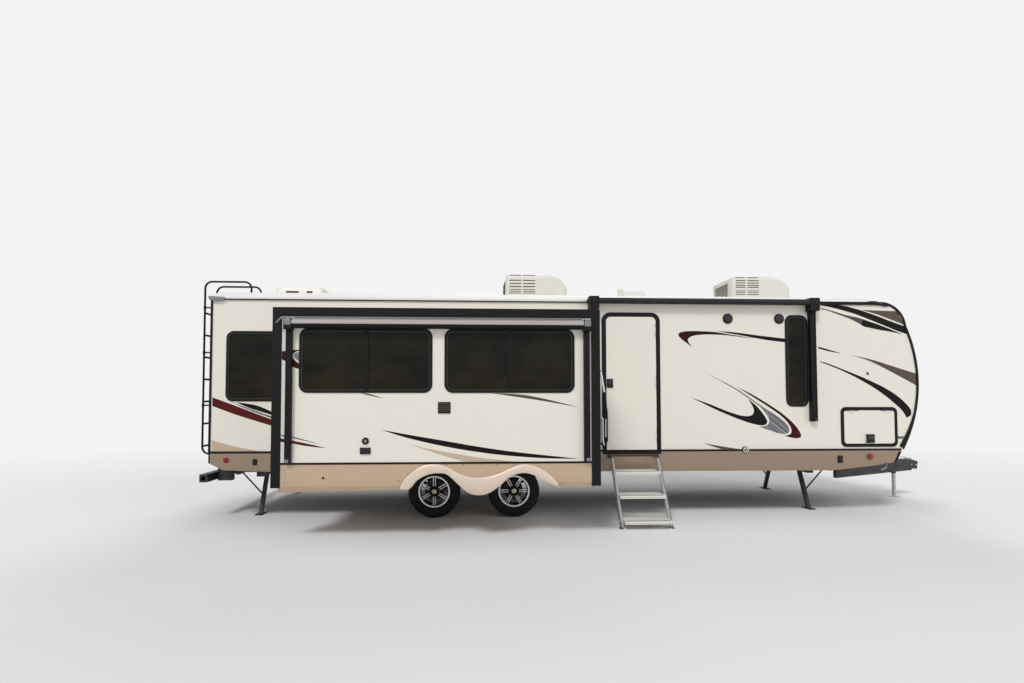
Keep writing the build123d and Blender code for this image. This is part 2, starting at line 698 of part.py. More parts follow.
# Lower skirts, open round the wheels
skirt_profile = (
    (0, 745),
    (190, 650),
    (1150, 615),
    (8230, 600),
    (8740, 650),
    (9140, 708),
)
skirt_top = belt_span[0]
wheel_opening = (2300, 4420)
arm_notch = 12
with BuildPart() as skirts:
    for y, camp in ((y_camp, True), (y_road + skirt_thickness, False)):
        with BuildSketch(side_plane(y)):
            with BuildLine():
                Polyline(*[(x_rear + station, height) for station, height in skirt_profile],
                         (x_nose - skirt_nose_setback - 4, skirt_top), (x_rear, skirt_top), close=True)
            make_face()
            if camp:
                with Locations((x_rear + door_station, skirt_top)):
                    Rectangle(door_width, 2 * (skirt_top - door_sill), mode=Mode.SUBTRACT)
                with Locations((x_rear + sum(wheel_opening) / 2, arch_height / 2)):
                    Rectangle(wheel_opening[1] - wheel_opening[0], arch_height, mode=Mode.SUBTRACT)
                with Locations((x_rear + arm_stations[0], arm_z)):
                    Rectangle(sleeve_width + 2 * arm_notch, sleeve_height + 2 * arm_notch, mode=Mode.SUBTRACT)
            else:
                add(arch_opening(y, x_rear + axle_station), mode=Mode.SUBTRACT)
        extrude(amount=skirt_thickness)
    extrude(ribbon(y_road + skirt_thickness + fender_depth, x_rear + axle_station), amount=fender_depth + skirt_thickness)
save(skirts, "skirts")


def window_frame(x, z, width, tall, y, direction):
    """A black window frame: a proud flange, a neck through the wall, and a mullion when wide."""
    flange = y if direction < 0 else y + window_proud
    panel(x, z, width, tall, window_radius, flange, window_proud)
    neck = y + wall if direction < 0 else y
    panel(x, z, width - 2 * window_neck, tall - 2 * window_neck, window_radius - window_neck, neck, wall)
    top = max(flange, neck) + 1
    panel(x, z, width - 2 * window_bar, tall - 2 * window_bar, window_radius - window_bar, top,
          window_proud + wall + 2, mode=Mode.SUBTRACT)
    if width > 2 * tall - 60:
        near = y - window_proud + 3 if direction < 0 else y - 18
        block((x - mullion / 2, x + mullion / 2), (near, near + 24), (z - tall / 2 + 20, z + tall / 2 - 20))


glass_thickness = 6
glass_recess = 4


def window_glass(x, z, width, tall, y, direction):
    """Tinted panes between the bars of a window frame."""
    plane = y + glass_recess + glass_thickness if direction < 0 else y - glass_recess
    panel(x, z, width - 2 * window_bar, tall - 2 * window_bar, window_radius - window_bar, plane, glass_thickness)
    if width > 2 * tall - 60:
        block((x - mullion / 2, x + mullion / 2), (plane - glass_thickness - 1, plane + 1),
              (z - tall / 2, z + tall / 2), mode=Mode.SUBTRACT)


with BuildPart() as window_frames:
    for side_name, station, height, width, tall in windows:
        camp = side_name == "camp"
        window_frame(x_rear + station, height, width, tall, y_camp if camp else y_road, -1 if camp else 1)
save(window_frames, "window_frames")

with BuildPart() as window_panes:
    for side_name, station, height, width, tall in windows:
        camp = side_name == "camp"
        window_glass(x_rear + station, height, width, tall, y_camp if camp else y_road, -1 if camp else 1)
save(window_panes, "window_panes")

with BuildPart() as slide_window_frames:
    for station, height, width, tall in slide_windows:
        window_frame(x_rear + station, height, width, tall, y_slide, -1)
save(slide_window_frames, "slide_window_frames")

with BuildPart() as slide_window_panes:
    for station, height, width, tall in slide_windows:
        window_glass(x_rear + station, height, width, tall, y_slide, -1)
save(slide_window_panes, "slide_window_panes")

# Hinges: a barrel in three parts on a line in front of the frame, pinned in the middle
barrel_radius = 7
hinge_pin = 3.5
hinge_pin_gap = 0.3
knuckle = 60
knuckle_gap = 0.4
hinge_proud = door_proud + barrel_radius + 2
door_hinge_x = x_rear + door_station + door_width / 2 - door_bar - door_gap + 4
door_hinge_y = y_camp - hinge_proud
door_hinge_heights = (door_height - 700, door_height, door_height + 700)

with BuildPart() as door_frame:
    x = x_rear + door_station
    door_panel(x, door_height, door_width, door_tall, door_radius, y_camp, door_proud)
    door_panel(x, door_height, door_width - 2 * door_neck, door_tall - 2 * door_neck, door_radius - door_neck,
               y_camp + wall, wall)
    door_panel(x, door_height, door_width - 2 * door_bar, door_tall - 2 * door_bar, door_radius - door_bar,
               y_camp + wall + 1, wall + door_proud + 2, mode=Mode.SUBTRACT)
    for height in door_hinge_heights:
        for side in (-1, 1):
            span = sorted((height + side * (knuckle / 2 + knuckle_gap), height + side * knuckle * 1.5))
            along_z(door_hinge_x, door_hinge_y, span, barrel_radius)
            block((door_hinge_x, door_hinge_x + 18), (door_hinge_y - 2, y_camp - door_proud), span)
        along_z(door_hinge_x, door_hinge_y, (height - knuckle, height + knuckle), hinge_pin)
save(door_frame, "door_frame")

with BuildPart() as entry_door:
    slab_width = door_width - 2 * door_bar - 2 * door_gap
    slab_tall = door_tall - 2 * door_bar - 2 * door_gap
    door_panel(x, door_height, slab_width, slab_tall, door_radius - door_bar - door_gap + 6,
               y_camp - door_slab_proud + door_thickness, door_thickness)
    for height in door_hinge_heights:
        span = (height - knuckle / 2, height + knuckle / 2)
        along_z(door_hinge_x, door_hinge_y, span, barrel_radius)
        block((door_hinge_x - 26, door_hinge_x), (door_hinge_y - 2, y_camp - door_slab_proud), span)
        along_z(door_hinge_x, door_hinge_y, (height - knuckle, height + knuckle), hinge_pin + hinge_pin_gap,
                mode=Mode.SUBTRACT)
    latch_x = x - slab_width / 2 + 44
    latch_z = door_height - 5
    panel(latch_x, latch_z, 82, 118, 12, y_camp - door_slab_proud, 12)
    panel(latch_x, latch_z, 50, 62, 8, y_camp - door_slab_proud - 12, 8)
save(entry_door, "entry_door")

# Baggage doors, hinged along the top
bay_hinge_z = bay_height + bay_tall / 2 - bay_bar - door_gap + 4
bay_proud = 8
bay_slab_proud = 10
bay_hinge_proud = bay_proud + barrel_radius + 2
bay_hinge_offsets = (-250, 250)
with BuildPart() as bay_frames:
    x = x_rear + bay_station
    for y, out in ((y_camp, -1), (y_road, 1)):
        face = y if out < 0 else y + bay_proud
        neck = y + wall if out < 0 else y
        panel(x, bay_height, bay_width, bay_tall, bay_radius, face, bay_proud)
        panel(x, bay_height, bay_width - 2 * bay_neck, bay_tall - 2 * bay_neck, bay_radius - bay_neck, neck, wall)
        panel(x, bay_height, bay_width - 2 * bay_bar, bay_tall - 2 * bay_bar, bay_radius - bay_bar + 4,
              max(face, neck) + 1, wall + bay_proud + 2, mode=Mode.SUBTRACT)
        hinge_y = y + out * bay_hinge_proud
        for shift in bay_hinge_offsets:
            for side in (-1, 1):
                span = sorted((x + shift + side * (knuckle / 2 + knuckle_gap), x + shift + side * knuckle * 1.5))
                along_x(span, hinge_y, bay_hinge_z, barrel_radius)
                leaf = sorted((hinge_y + out * 2, y + out * bay_proud))
                block(span, leaf, (bay_hinge_z, bay_hinge_z + 18))
            along_x((x + shift - knuckle, x + shift + knuckle), hinge_y, bay_hinge_z, hinge_pin)
save(bay_frames, "bay_frames")

for name, y, out in (("bay_door_camp", y_camp, -1), ("bay_door_road", y_road, 1)):
    with BuildPart() as bay_door:
        slab_width = bay_width - 2 * bay_bar - 2 * door_gap
        slab_tall = bay_tall - 2 * bay_bar - 2 * door_gap
        outer = y + out * bay_slab_proud
        inner = outer - out * door_thickness
        panel(x, bay_height, slab_width, slab_tall, bay_radius - bay_bar + 8, max(outer, inner), door_thickness)
        hinge_y = y + out * bay_hinge_proud
        for shift in bay_hinge_offsets:
            span = (x + shift - knuckle / 2, x + shift + knuckle / 2)
            along_x(span, hinge_y, bay_hinge_z, barrel_radius)
            block(span, sorted((hinge_y + out * 2, outer)), (bay_hinge_z - 26, bay_hinge_z))
            along_x((x + shift - knuckle, x + shift + knuckle), hinge_y, bay_hinge_z, hinge_pin + hinge_pin_gap,
                    mode=Mode.SUBTRACT)
        latch_y = outer if out < 0 else outer + 16
        panel(x, bay_height - slab_tall / 2 + 68, 118, 118, 16, latch_y, 16)
    save(bay_door, name)

# Bulkhead and bed base that close the baggage bay inside
bulkhead_station = 8290
bulkhead_thickness = 20
bed_height = 1480
bed_nose_setback = 95
with BuildPart() as bay_liner:
    inside = (y_camp + wall, y_road - wall)
    block((x_rear + bulkhead_station, x_rear + bulkhead_station + bulkhead_thickness), inside, (floor_top, bed_height))
    block((x_rear + bulkhead_station, x_nose - bed_nose_setback), inside, (bed_height, bed_height + bulkhead_thickness))
save(bay_liner, "bay_liner")

# Slide-out room: face wall, floor, roof and sides
slide_inner = y_camp + wall + slide_tail
with BuildPart() as slide_face:
    block(slide_x, (y_slide, y_slide + wall), (slide_belt, slide_top))
    for station, height, width, tall in slide_windows:
        panel(x_rear + station, height, width - 2 * window_neck, tall - 2 * window_neck,
              window_radius - window_neck, y_slide + wall, wall, mode=Mode.SUBTRACT)
save(slide_face, "slide_face")

with BuildPart() as slide_floor_panel:
    block((slide_x[0] + slide_panel, slide_x[1] - slide_panel), (y_slide + wall, slide_inner),
          (slide_floor, slide_floor + slide_panel))
save(slide_floor_panel, "slide_floor")

with BuildPart() as slide_roof_panel:
    block((slide_x[0] + slide_panel, slide_x[1] - slide_panel), (y_slide + wall, slide_inner),
          (slide_top - slide_panel, slide_top))
save(slide_roof_panel, "slide_roof")

with BuildPart() as slide_sides:
    for x in (slide_x[0], slide_x[1] - slide_panel):
        block((x, x + slide_panel), (y_slide + wall, slide_inner), (slide_floor, slide_top))
save(slide_sides, "slide_sides")

flange_bottom = 595
slide_band = (slide_belt - 11, slide_belt + 11)
slide_band_proud = 6
with BuildPart() as slide_trim:
    depth = (y_slide, y_slide + slide_flange)
    outer = (slide_x[0] - slide_overhang, slide_x[1] + slide_overhang)
    inner = (slide_x[0] + slide_lip, slide_x[1] - slide_lip)
    lip = (y_slide - slide_lip_proud, y_slide)
    block(outer, depth, (flange_bottom, slide_top + slide_overhang))
    block(slide_x, depth, (flange_bottom, slide_top), mode=Mode.SUBTRACT)
    block(outer, lip, (flange_bottom, slide_top + slide_overhang))
    block(inner, lip, (flange_bottom, slide_top - slide_lip), mode=Mode.SUBTRACT)
    block(inner, (y_slide - slide_band_proud, y_slide), slide_band)
save(slide_trim, "slide_trim")

# Lower fascia of the slide: a folded lower edge, the two wheel arches, and the ribbon round them
x_arch = x_rear + arch_mid_station
fascia_fold = 65            # height of the folded lower edge
fascia_fold_depth = 20
with BuildPart() as slide_skirt:
    left, right = x_arch + ribbon_lower[0][0], x_arch + ribbon_lower[-1][0]
    with BuildSketch(side_plane(y_slide + slide_fascia)):
        with BuildLine():
            Polyline((slide_x[0], slide_fascia_ends[0]), (left, ribbon_lower[0][1]), (left, arch_low), (right, arch_low),
                     (right, ribbon_lower[-1][1]), (slide_x[1], slide_fascia_ends[1]), (slide_x[1], slide_belt),
                     (slide_x[0], slide_belt), close=True)
        make_face()
        add(arch_opening(y_slide + slide_fascia, x_arch), mode=Mode.SUBTRACT)
    extrude(amount=slide_fascia)
    for start, stop, low in ((slide_x[0], x_arch + ribbon_upper[0][0] + 20, slide_fascia_ends[0]),
                             (right - 20, slide_x[1], slide_fascia_ends[1])):
        with BuildSketch(Plane.YZ.offset(start)):
            with BuildLine():
                Polyline((y_slide - 1, low + fascia_fold), (y_slide, low + fascia_fold),
                         (y_slide + fascia_fold_depth, low), (y_slide + fascia_fold_depth, low - 5), (y_slide - 1, low - 5),
                         close=True)
            make_face()
        extrude(amount=stop - start, mode=Mode.SUBTRACT)
    extrude(ribbon(y_slide + 1, x_arch), amount=fender_depth + 1)
save(slide_skirt, "slide_skirt")

# Arms that carry the slide, bolted behind its fascia
arm_bracket = 23
arm_bite = 320              # how much of an arm is still in its sleeve
with BuildPart() as slide_arms:
    for station in arm_stations:
        x = x_rear + station
        block((x - arm_width / 2, x + arm_width / 2), (y_slide + slide_fascia, y_camp + sleeve_start + arm_bite),
              (arm_z - arm_height / 2, arm_z + arm_height / 2))
        block((x - 70, x + 70), (y_slide + slide_fascia, y_slide + slide_fascia + arm_bracket), (arm_z - 50, slide_belt))
save(slide_arms, "slide_arms")

# Awnings: a rolled-up fabric on a roller, and at each end an arm with a head that carries it
def awning(stations, y, arm, roller, reach, head):
    """Arm is its width, depth, foot and top; roller its height and radius; head its width, foot and top."""
    for station in stations:
        x = x_rear + station
        block((x - arm[0] / 2, x + arm[0] / 2), (y - arm[1], y), arm[2:])
        block((x - head[0] / 2, x + head[0] / 2), (y - reach, y), head[1:])
    ends = (x_rear + stations[0] + head[0] / 2, x_rear + stations[1] - head[0] / 2)
    along_x(ends, y - reach + roller[1], roller[0], roller[1])


slide_awning_stations = (slide_station + 110, slide_station + slide_length - 78)
with BuildPart() as slide_awning:
    awning(slide_awning_stations, y_slide, (64, 52, slide_belt + 14, slide_top - 80), (slide_top - 108, 50), awning_reach,
           (84, slide_top - 172, slide_top - 50))
    block(slide_x, (y_slide - slide_lip_proud, y_slide), (slide_belt - 20, slide_belt + 11), mode=Mode.SUBTRACT)
save(slide_awning, "slide_awning")

main_awning_stations = (slide_station + slide_length + 248, 7975)
with BuildPart() as main_awning:
    awning(main_awning_stations, y_camp, (80, 62, 1262, wall_top - 49), (wall_top + 11, 39), main_awning_reach + rail_trim,
           (128, wall_top - 105, wall_top + 67))
    block((x_rear + main_awning_stations[0] - 100, x_rear + main_awning_stations[1] + 100),
          (y_camp - rail_trim, y_camp + 10), (rail_low, rail_top), mode=Mode.SUBTRACT)
save(main_awning, "main_awning")

# Ladder at the rear, hooked over the roof
ladder_foot = 840
ladder_hoop = roof_edge_height + 245
ladder_roof_station = 415
ladder_ties = (1480, 2180, wall_top - 75)
rung_first = 100
rung_step = 295
ladder_ys = (y_camp + body_width / 2 - ladder_offset, y_camp + body_width / 2 - ladder_offset + ladder_width)
with BuildPart() as ladder:
    x = x_rear - ladder_standoff
    for y in ladder_ys:
        with BuildLine(Plane.XZ.offset(-y)) as path:
            FilletPolyline((x_rear, ladder_foot), (x, ladder_foot), (x, ladder_hoop),
                           (x_rear + ladder_roof_station, ladder_hoop),
                           (x_rear + ladder_roof_station, roof_edge_height + 40), radius=90)
        with BuildSketch(Plane((x_rear, y, ladder_foot), x_dir=(0, 1, 0), z_dir=(-1, 0, 0))):
            Circle(ladder_tube)
        sweep(path=path.line)
        for z in ladder_ties:
            along_x((x, x_rear), y, z, ladder_tube - 3)
    for number in range(7):
        along_y(x, ladder_ys, ladder_foot + rung_first + number * rung_step, ladder_tube - 2)
    add(roof.part, mode=Mode.SUBTRACT)
save(ladder, "ladder")

# Air conditioners on the roof: a long shroud, upright behind and rounded down in front
cooler_stations = (3872, 7350)
cooler_length = 945
cooler_width = 660
cooler_top = roof_edge_height + 567
cooler_corner = 90          # rounding of the shroud's corners seen from above
cooler_shoulder = 70
cooler_nose = ((80, 0), (330, 3), (600, -8), (770, -52), (885, -140), (940, -235), (925, -310))


def cooler(x):
    """One shroud whose back stands at x."""
    low = roof_edge_height + 60
    with BuildPart(mode=Mode.PRIVATE) as unit:
        with BuildSketch(side_plane(y_mid + cooler_width / 2)):
            nose = [(x + ahead, cooler_top + rise) for ahead, rise in cooler_nose]
            with BuildLine():
                Polyline((nose[-1][0] - 20, low), (x, low), (x + 10, cooler_top - 60))
                ThreePointArc((x + 10, cooler_top - 60), (x + 30, cooler_top - 15), nose[0])
                Spline(*nose)
                Line(nose[-1], (nose[-1][0] - 20, low))
            make_face()
        extrude(amount=cooler_width)
        with BuildSketch(Plane.XY.offset(low), mode=Mode.PRIVATE) as plan:
            with Locations((x + cooler_length / 2, y_mid)):
                RectangleRounded(cooler_length + 2, cooler_width, cooler_corner)
        extrude(plan.sketch, amount=cooler_top - low + 20, mode=Mode.INTERSECT)
        with BuildSketch(Plane.YZ.offset(x - 1), mode=Mode.PRIVATE) as section:
            with Locations((y_mid, (low - 200 + cooler_top + 4) / 2)):
                RectangleRounded(cooler_width, cooler_top + 4 - low + 200, cooler_shoulder)
        extrude(section.sketch, amount=cooler_length + 4, mode=Mode.INTERSECT)
    return unit.part


with BuildPart() as air_conditioners:
    for station in cooler_stations:
        add(cooler(x_rear + station))
    add(roof.part, mode=Mode.SUBTRACT)
save(air_conditioners, "air_conditioners")

# Roof vents with hinged lids: station of the rear edge, length, width
vents = (
    ("rear", 420, 745, 520),
    ("front", 5680, 400, 400),
)
vent_base_top = roof_edge_height + 245
pipe_station = 5640
pipe_radius = 38
pipe_inset = 255            # from the body's centreline towards the camp side
lid_height = 95
lid_gap = 0.3
with BuildPart() as vent_bases:
    for name, station, length, width in vents:
        block((x_rear + station + 40, x_rear + station + length - 30), (y_mid - width / 2 + 30, y_mid + width / 2 - 30),
              (roof_edge_height + 60, vent_base_top))
    along_z(x_rear + pipe_station, y_mid - pipe_inset, (roof_edge_height + 60, vent_base_top + 105), pipe_radius)
    add(roof.part, mode=Mode.SUBTRACT)
save(vent_bases, "vent_bases")

for name, station, length, width in vents:
    with BuildPart() as vent_lid:
        with BuildSketch(Plane.XY.offset(vent_base_top + lid_gap)):
            with Locations((x_rear + station + length / 2, y_mid)):
                RectangleRounded(length, width, 60)
        extrude(amount=lid_height, taper=18)
    save(vent_lid, "vent_lid_" + name)

# Entry steps: two square stringers with a bar on top, three treads with a grooved nosing, and feet
step_width = 640            # over the stringers
step_count = 3
step_rise = 266
step_first = 105            # top of the lowest tread
step_run = 201
step_reach = 674            # front of the lowest tread, from the wall
tread_depth = 250
tread_thickness = 14
nosing = 38
nosing_depth = 30
groove = 5
stringer_out = (105, 565)   # from the wall, at the top and at the ground
stringer_top = 841
stringer_depth = 48
stringer_width = 32
with BuildPart() as entry_steps:
    x = x_rear + door_station - 10
    skirt_y = y_camp - skirt_thickness
    for side in (-1, 1):
        edge = x + side * step_width / 2
        span = sorted((edge, edge - side * stringer_width))
        high, low = y_camp - stringer_out[0], y_camp - stringer_out[1]
        with BuildSketch(Plane.YZ.offset(span[0])):
            with BuildLine():
                Polyline((high, stringer_top), (high - stringer_depth, stringer_top), (low - stringer_depth, 0), (low, 0),
                         close=True)
            make_face()
        extrude(amount=stringer_width)
        block(span, (high - 10, skirt_y), (stringer_top - 56, door_sill - 6))
        block((span[0] - 14, span[1] + 14), (low - stringer_depth - 12, low + 12), (0, 10))
    block((x - step_width / 2, x + step_width / 2), (high - stringer_depth, high - stringer_depth + 30),
          (stringer_top - 25, stringer_top))
    inner = (x - step_width / 2 + stringer_width, x + step_width / 2 - stringer_width)
    for number in range(step_count):
        top = step_first + number * step_rise
        front = y_camp - step_reach + number * step_run
        back = front + tread_depth
        block(inner, (front, back), (top - tread_thickness, top))
        block(inner, (front, front + nosing_depth), (top - nosing, top))
        block(inner, (back - 12, back), (top - nosing + 8, top))
        block(inner, (front + nosing_depth + 6, front + nosing_depth + 14), (top - groove, top), mode=Mode.SUBTRACT)
        block(inner, (front - 1, front + groove), (top - nosing / 2 - 4, top - nosing / 2 + 4), mode=Mode.SUBTRACT)
save(entry_steps, "entry_steps")

# Folded grab handle beside the door
handle_x = x_rear + door_station - door_width / 2 - 24
handle_span = (door_sill + 119, door_sill + door_tall * 0.58)
handle_radius = 14
with BuildPart() as grab_handle:
    for z in (handle_span[0] + 50, handle_span[1] - 50):
        block((handle_x - 14, handle_x + 14), (y_camp - 40, y_camp), (z - 30, z + 30))
    along_z(handle_x, y_camp - 52, handle_span, handle_radius)
save(grab_handle, "grab_handle")

# Lamps: tail lamps, brake lamp and corner markers
with BuildPart() as lamps:
    for side in (-1, 1):
        panel_y = y_mid + side * (body_width / 2 - 190)
        block((x_rear - 22, x_rear), (panel_y - 90, panel_y + 90), (960, 1290))
    block((x_rear - 20, x_rear), (y_mid - 260, y_mid + 260), (wall_top - 165, wall_top - 115))
    for y in (y_camp - skirt_thickness, y_road + skirt_thickness):
        out = -1 if y < y_mid else 1
        for station, height, radius in ((224, 782, 33), (8759, 785, 41)):
            along_y(x_rear + station, sorted((y, y + out * 14)), height, radius)
save(lamps, "lamps")

# Service hatches on the road side: station, height, width, height
hatches = (
    (2450, 1180, 330, 330),
    (5650, 1300, 520, 420),
    (5650, 2000, 420, 160),
    (3400, 1250, 420, 160),
    (750, 1250, 130, 130),
)
with BuildPart() as road_hatches:
    for station, height, width, tall in hatches:
        panel(x_rear + station, height, width, tall, 20, y_road + 14, 14)
save(road_hatches, "road_hatches")
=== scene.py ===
"""Looks of a travel trailer with one slide-out room. Laid out as an add-on, run as a script.

Metres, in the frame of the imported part: +X forward to the coupler, -Y to the camp side, +Z up.
Places along the body are stations: distances forward from the outer face of the rear wall.
"""
from math import cos, pi, radians, sin, sqrt, tan

import bmesh
import bpy
from bpy.props import FloatProperty, FloatVectorProperty, PointerProperty
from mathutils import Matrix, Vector


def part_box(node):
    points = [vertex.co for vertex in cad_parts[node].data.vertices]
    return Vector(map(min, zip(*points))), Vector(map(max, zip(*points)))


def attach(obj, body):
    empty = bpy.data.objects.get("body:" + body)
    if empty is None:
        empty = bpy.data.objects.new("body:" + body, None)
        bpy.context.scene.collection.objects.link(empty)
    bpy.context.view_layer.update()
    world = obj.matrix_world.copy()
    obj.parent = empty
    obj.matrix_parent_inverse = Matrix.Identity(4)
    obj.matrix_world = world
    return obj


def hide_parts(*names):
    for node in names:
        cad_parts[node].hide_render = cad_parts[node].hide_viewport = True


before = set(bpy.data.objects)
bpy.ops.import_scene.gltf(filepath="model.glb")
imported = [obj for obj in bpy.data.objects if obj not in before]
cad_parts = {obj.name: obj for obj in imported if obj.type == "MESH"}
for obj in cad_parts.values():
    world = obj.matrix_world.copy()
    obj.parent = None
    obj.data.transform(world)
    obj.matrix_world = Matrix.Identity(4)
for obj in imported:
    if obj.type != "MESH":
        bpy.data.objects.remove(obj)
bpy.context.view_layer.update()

bl_info = {
    "name": "Travel trailer looks",
    "version": (1, 0, 0),
    "blender": (4, 5, 0),
    "location": "3D View > Sidebar > Trailer",
    "description": "Finishes, stripes and fittings of a travel trailer round its packed frame",
    "category": "Object",
}

# Places read from the frame
rear_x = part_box("rear_wall")[0].x
camp_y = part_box("camp_wall")[0].y
road_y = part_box("road_wall")[1].y
mid_y = (camp_y + road_y) / 2
slide_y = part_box("slide_face")[0].y
WHEELS = ("camp_rear", "camp_front", "road_rear", "road_front")


def at(station):
    """X of a station."""
    return rear_x + station


def colours():
    return bpy.context.scene.trailer_colours


def sizes():
    return bpy.context.scene.trailer_sizes


def colour_property(label, use, default):
    return FloatVectorProperty(name=label, description=use, subtype="COLOR", size=3, min=0, max=1,
                               default=default)


def length_property(label, use, default):
    return FloatProperty(name=label, description=use, subtype="DISTANCE", unit="LENGTH", default=default)


class TrailerColours(bpy.types.PropertyGroup):
    gelcoat: colour_property("Gelcoat", "Upper walls, nose and doors", (0.81, 0.765, 0.675))
    skirt: colour_property("Skirt", "Lower skirts and fenders", (0.54, 0.395, 0.275))
    trim: colour_property("Trim", "Slide flange, frames and awning arms", (0.009, 0.009, 0.010))
    glass: colour_property("Glass", "Tinted windows", (0.004, 0.006, 0.0055))
    # Painted shade and painted reflection: the skirts below the side walls have the slide skirt's champagne
    # paint, darkened here for their slight inward lean and the dark ground that their flakes reflect.
    taupe: colour_property("Body skirts", "Skirts below the side walls", (0.30, 0.215, 0.15))
    # Painted highlight: the ribbon has the skirt's paint, made lighter here for the light that falls on its
    # rounded top.
    ribbon: colour_property("Fender ribbon", "Ribbon over the wheels", (0.74, 0.61, 0.50))
    casting: colour_property("Casting", "Awning heads, spouts and clips", (0.22, 0.22, 0.225))
    roller: colour_property("Roller", "Cover of the slide awning's roller", (0.40, 0.355, 0.335))
    membrane: colour_property("Roof membrane", "Roof covering", (0.80, 0.79, 0.75))
    maroon: colour_property("Maroon stripe", "Dark red stripes", (0.085, 0.010, 0.009))
    charcoal: colour_property("Charcoal stripe", "Near-black stripes", (0.006, 0.0055, 0.006))
    silver: colour_property("Silver stripe", "Grey stripes", (0.19, 0.19, 0.205))
    tan: colour_property("Tan stripe", "Light brown stripes", (0.56, 0.44, 0.32))
    umber: colour_property("Umber stripe", "Grey-brown stripes", (0.105, 0.080, 0.066))
    chassis: colour_property("Chassis", "Chassis paint", (0.010, 0.010, 0.010))
    rubber: colour_property("Rubber", "Tyres", (0.012, 0.012, 0.012))
    aluminium: colour_property("Aluminium", "Steps and wheel faces", (0.72, 0.72, 0.71))
    moulding: colour_property("Moulding", "Roof units and vent lids", (0.76, 0.73, 0.66))


class TrailerSizes(bpy.types.PropertyGroup):
    film: length_property("Stripe film", "Thickness of the striping film", 0.0008)
    edge: length_property("Soft edge", "Radius on edges of folded and moulded pieces", 0.003)
    lap: length_property("Ribbon lap", "How far the fender ribbon laps over its edges", 0.005)
    crown: length_property("Ribbon crown", "Rise of the fender ribbon in its middle", 0.007)
    roller: length_property("Roller cover", "Radius of the cover on the slide awning's roller", 0.052)
    rivet: length_property("Rivet", "Radius of the rivets along the slide's belt", 0.006)
    slot: length_property("Louvre slot", "Height of the louvres of the roof units", 0.013)
    tread: length_property("Tread depth", "Depth of the grooves in the tyres", 0.007)
    ridge: length_property("Step ridge", "Width of the ridges on the steps", 0.006)


class TrailerStage(bpy.types.PropertyGroup):
    camera_height: length_property("Camera height", "Height of the lens over the ground", 1.59)
    camera_station: length_property("Camera station", "Where along the body the camera stands", 3.343)
    camera_distance: length_property("Camera distance", "From the lens to the side wall", 6.79)
    camera_turn: FloatProperty(name="Camera turn", description="Turn towards the nose", subtype="ANGLE",
                               unit="ROTATION", default=radians(2.6))
    camera_tilt: FloatProperty(name="Camera tilt", description="Tilt above the horizon", subtype="ANGLE",
                               unit="ROTATION", default=radians(2.0))
    lens: FloatProperty(name="Focal length", description="On a 36 mm sensor", subtype="DISTANCE_CAMERA",
                        unit="CAMERA", default=18.105)
    floor: colour_property("Floor", "Studio floor near the trailer", (0.80, 0.80, 0.80))
    backdrop: colour_property("Backdrop", "Background, and the floor further off", (0.90, 0.90, 0.90))
    world_light: FloatProperty(name="World light", description="Strength of the even light", subtype="FACTOR",
                               default=0.42)

# Node materials

SHADER_SOCKETS = {
    "metallic": "Metallic",
    "roughness": "Roughness",
    "coat": "Coat Weight",
    "coat_roughness": "Coat Roughness",
    "specular": "Specular IOR Level",
    "sheen": "Sheen Weight",
}
NOISE_ROUGHNESS = 0.55


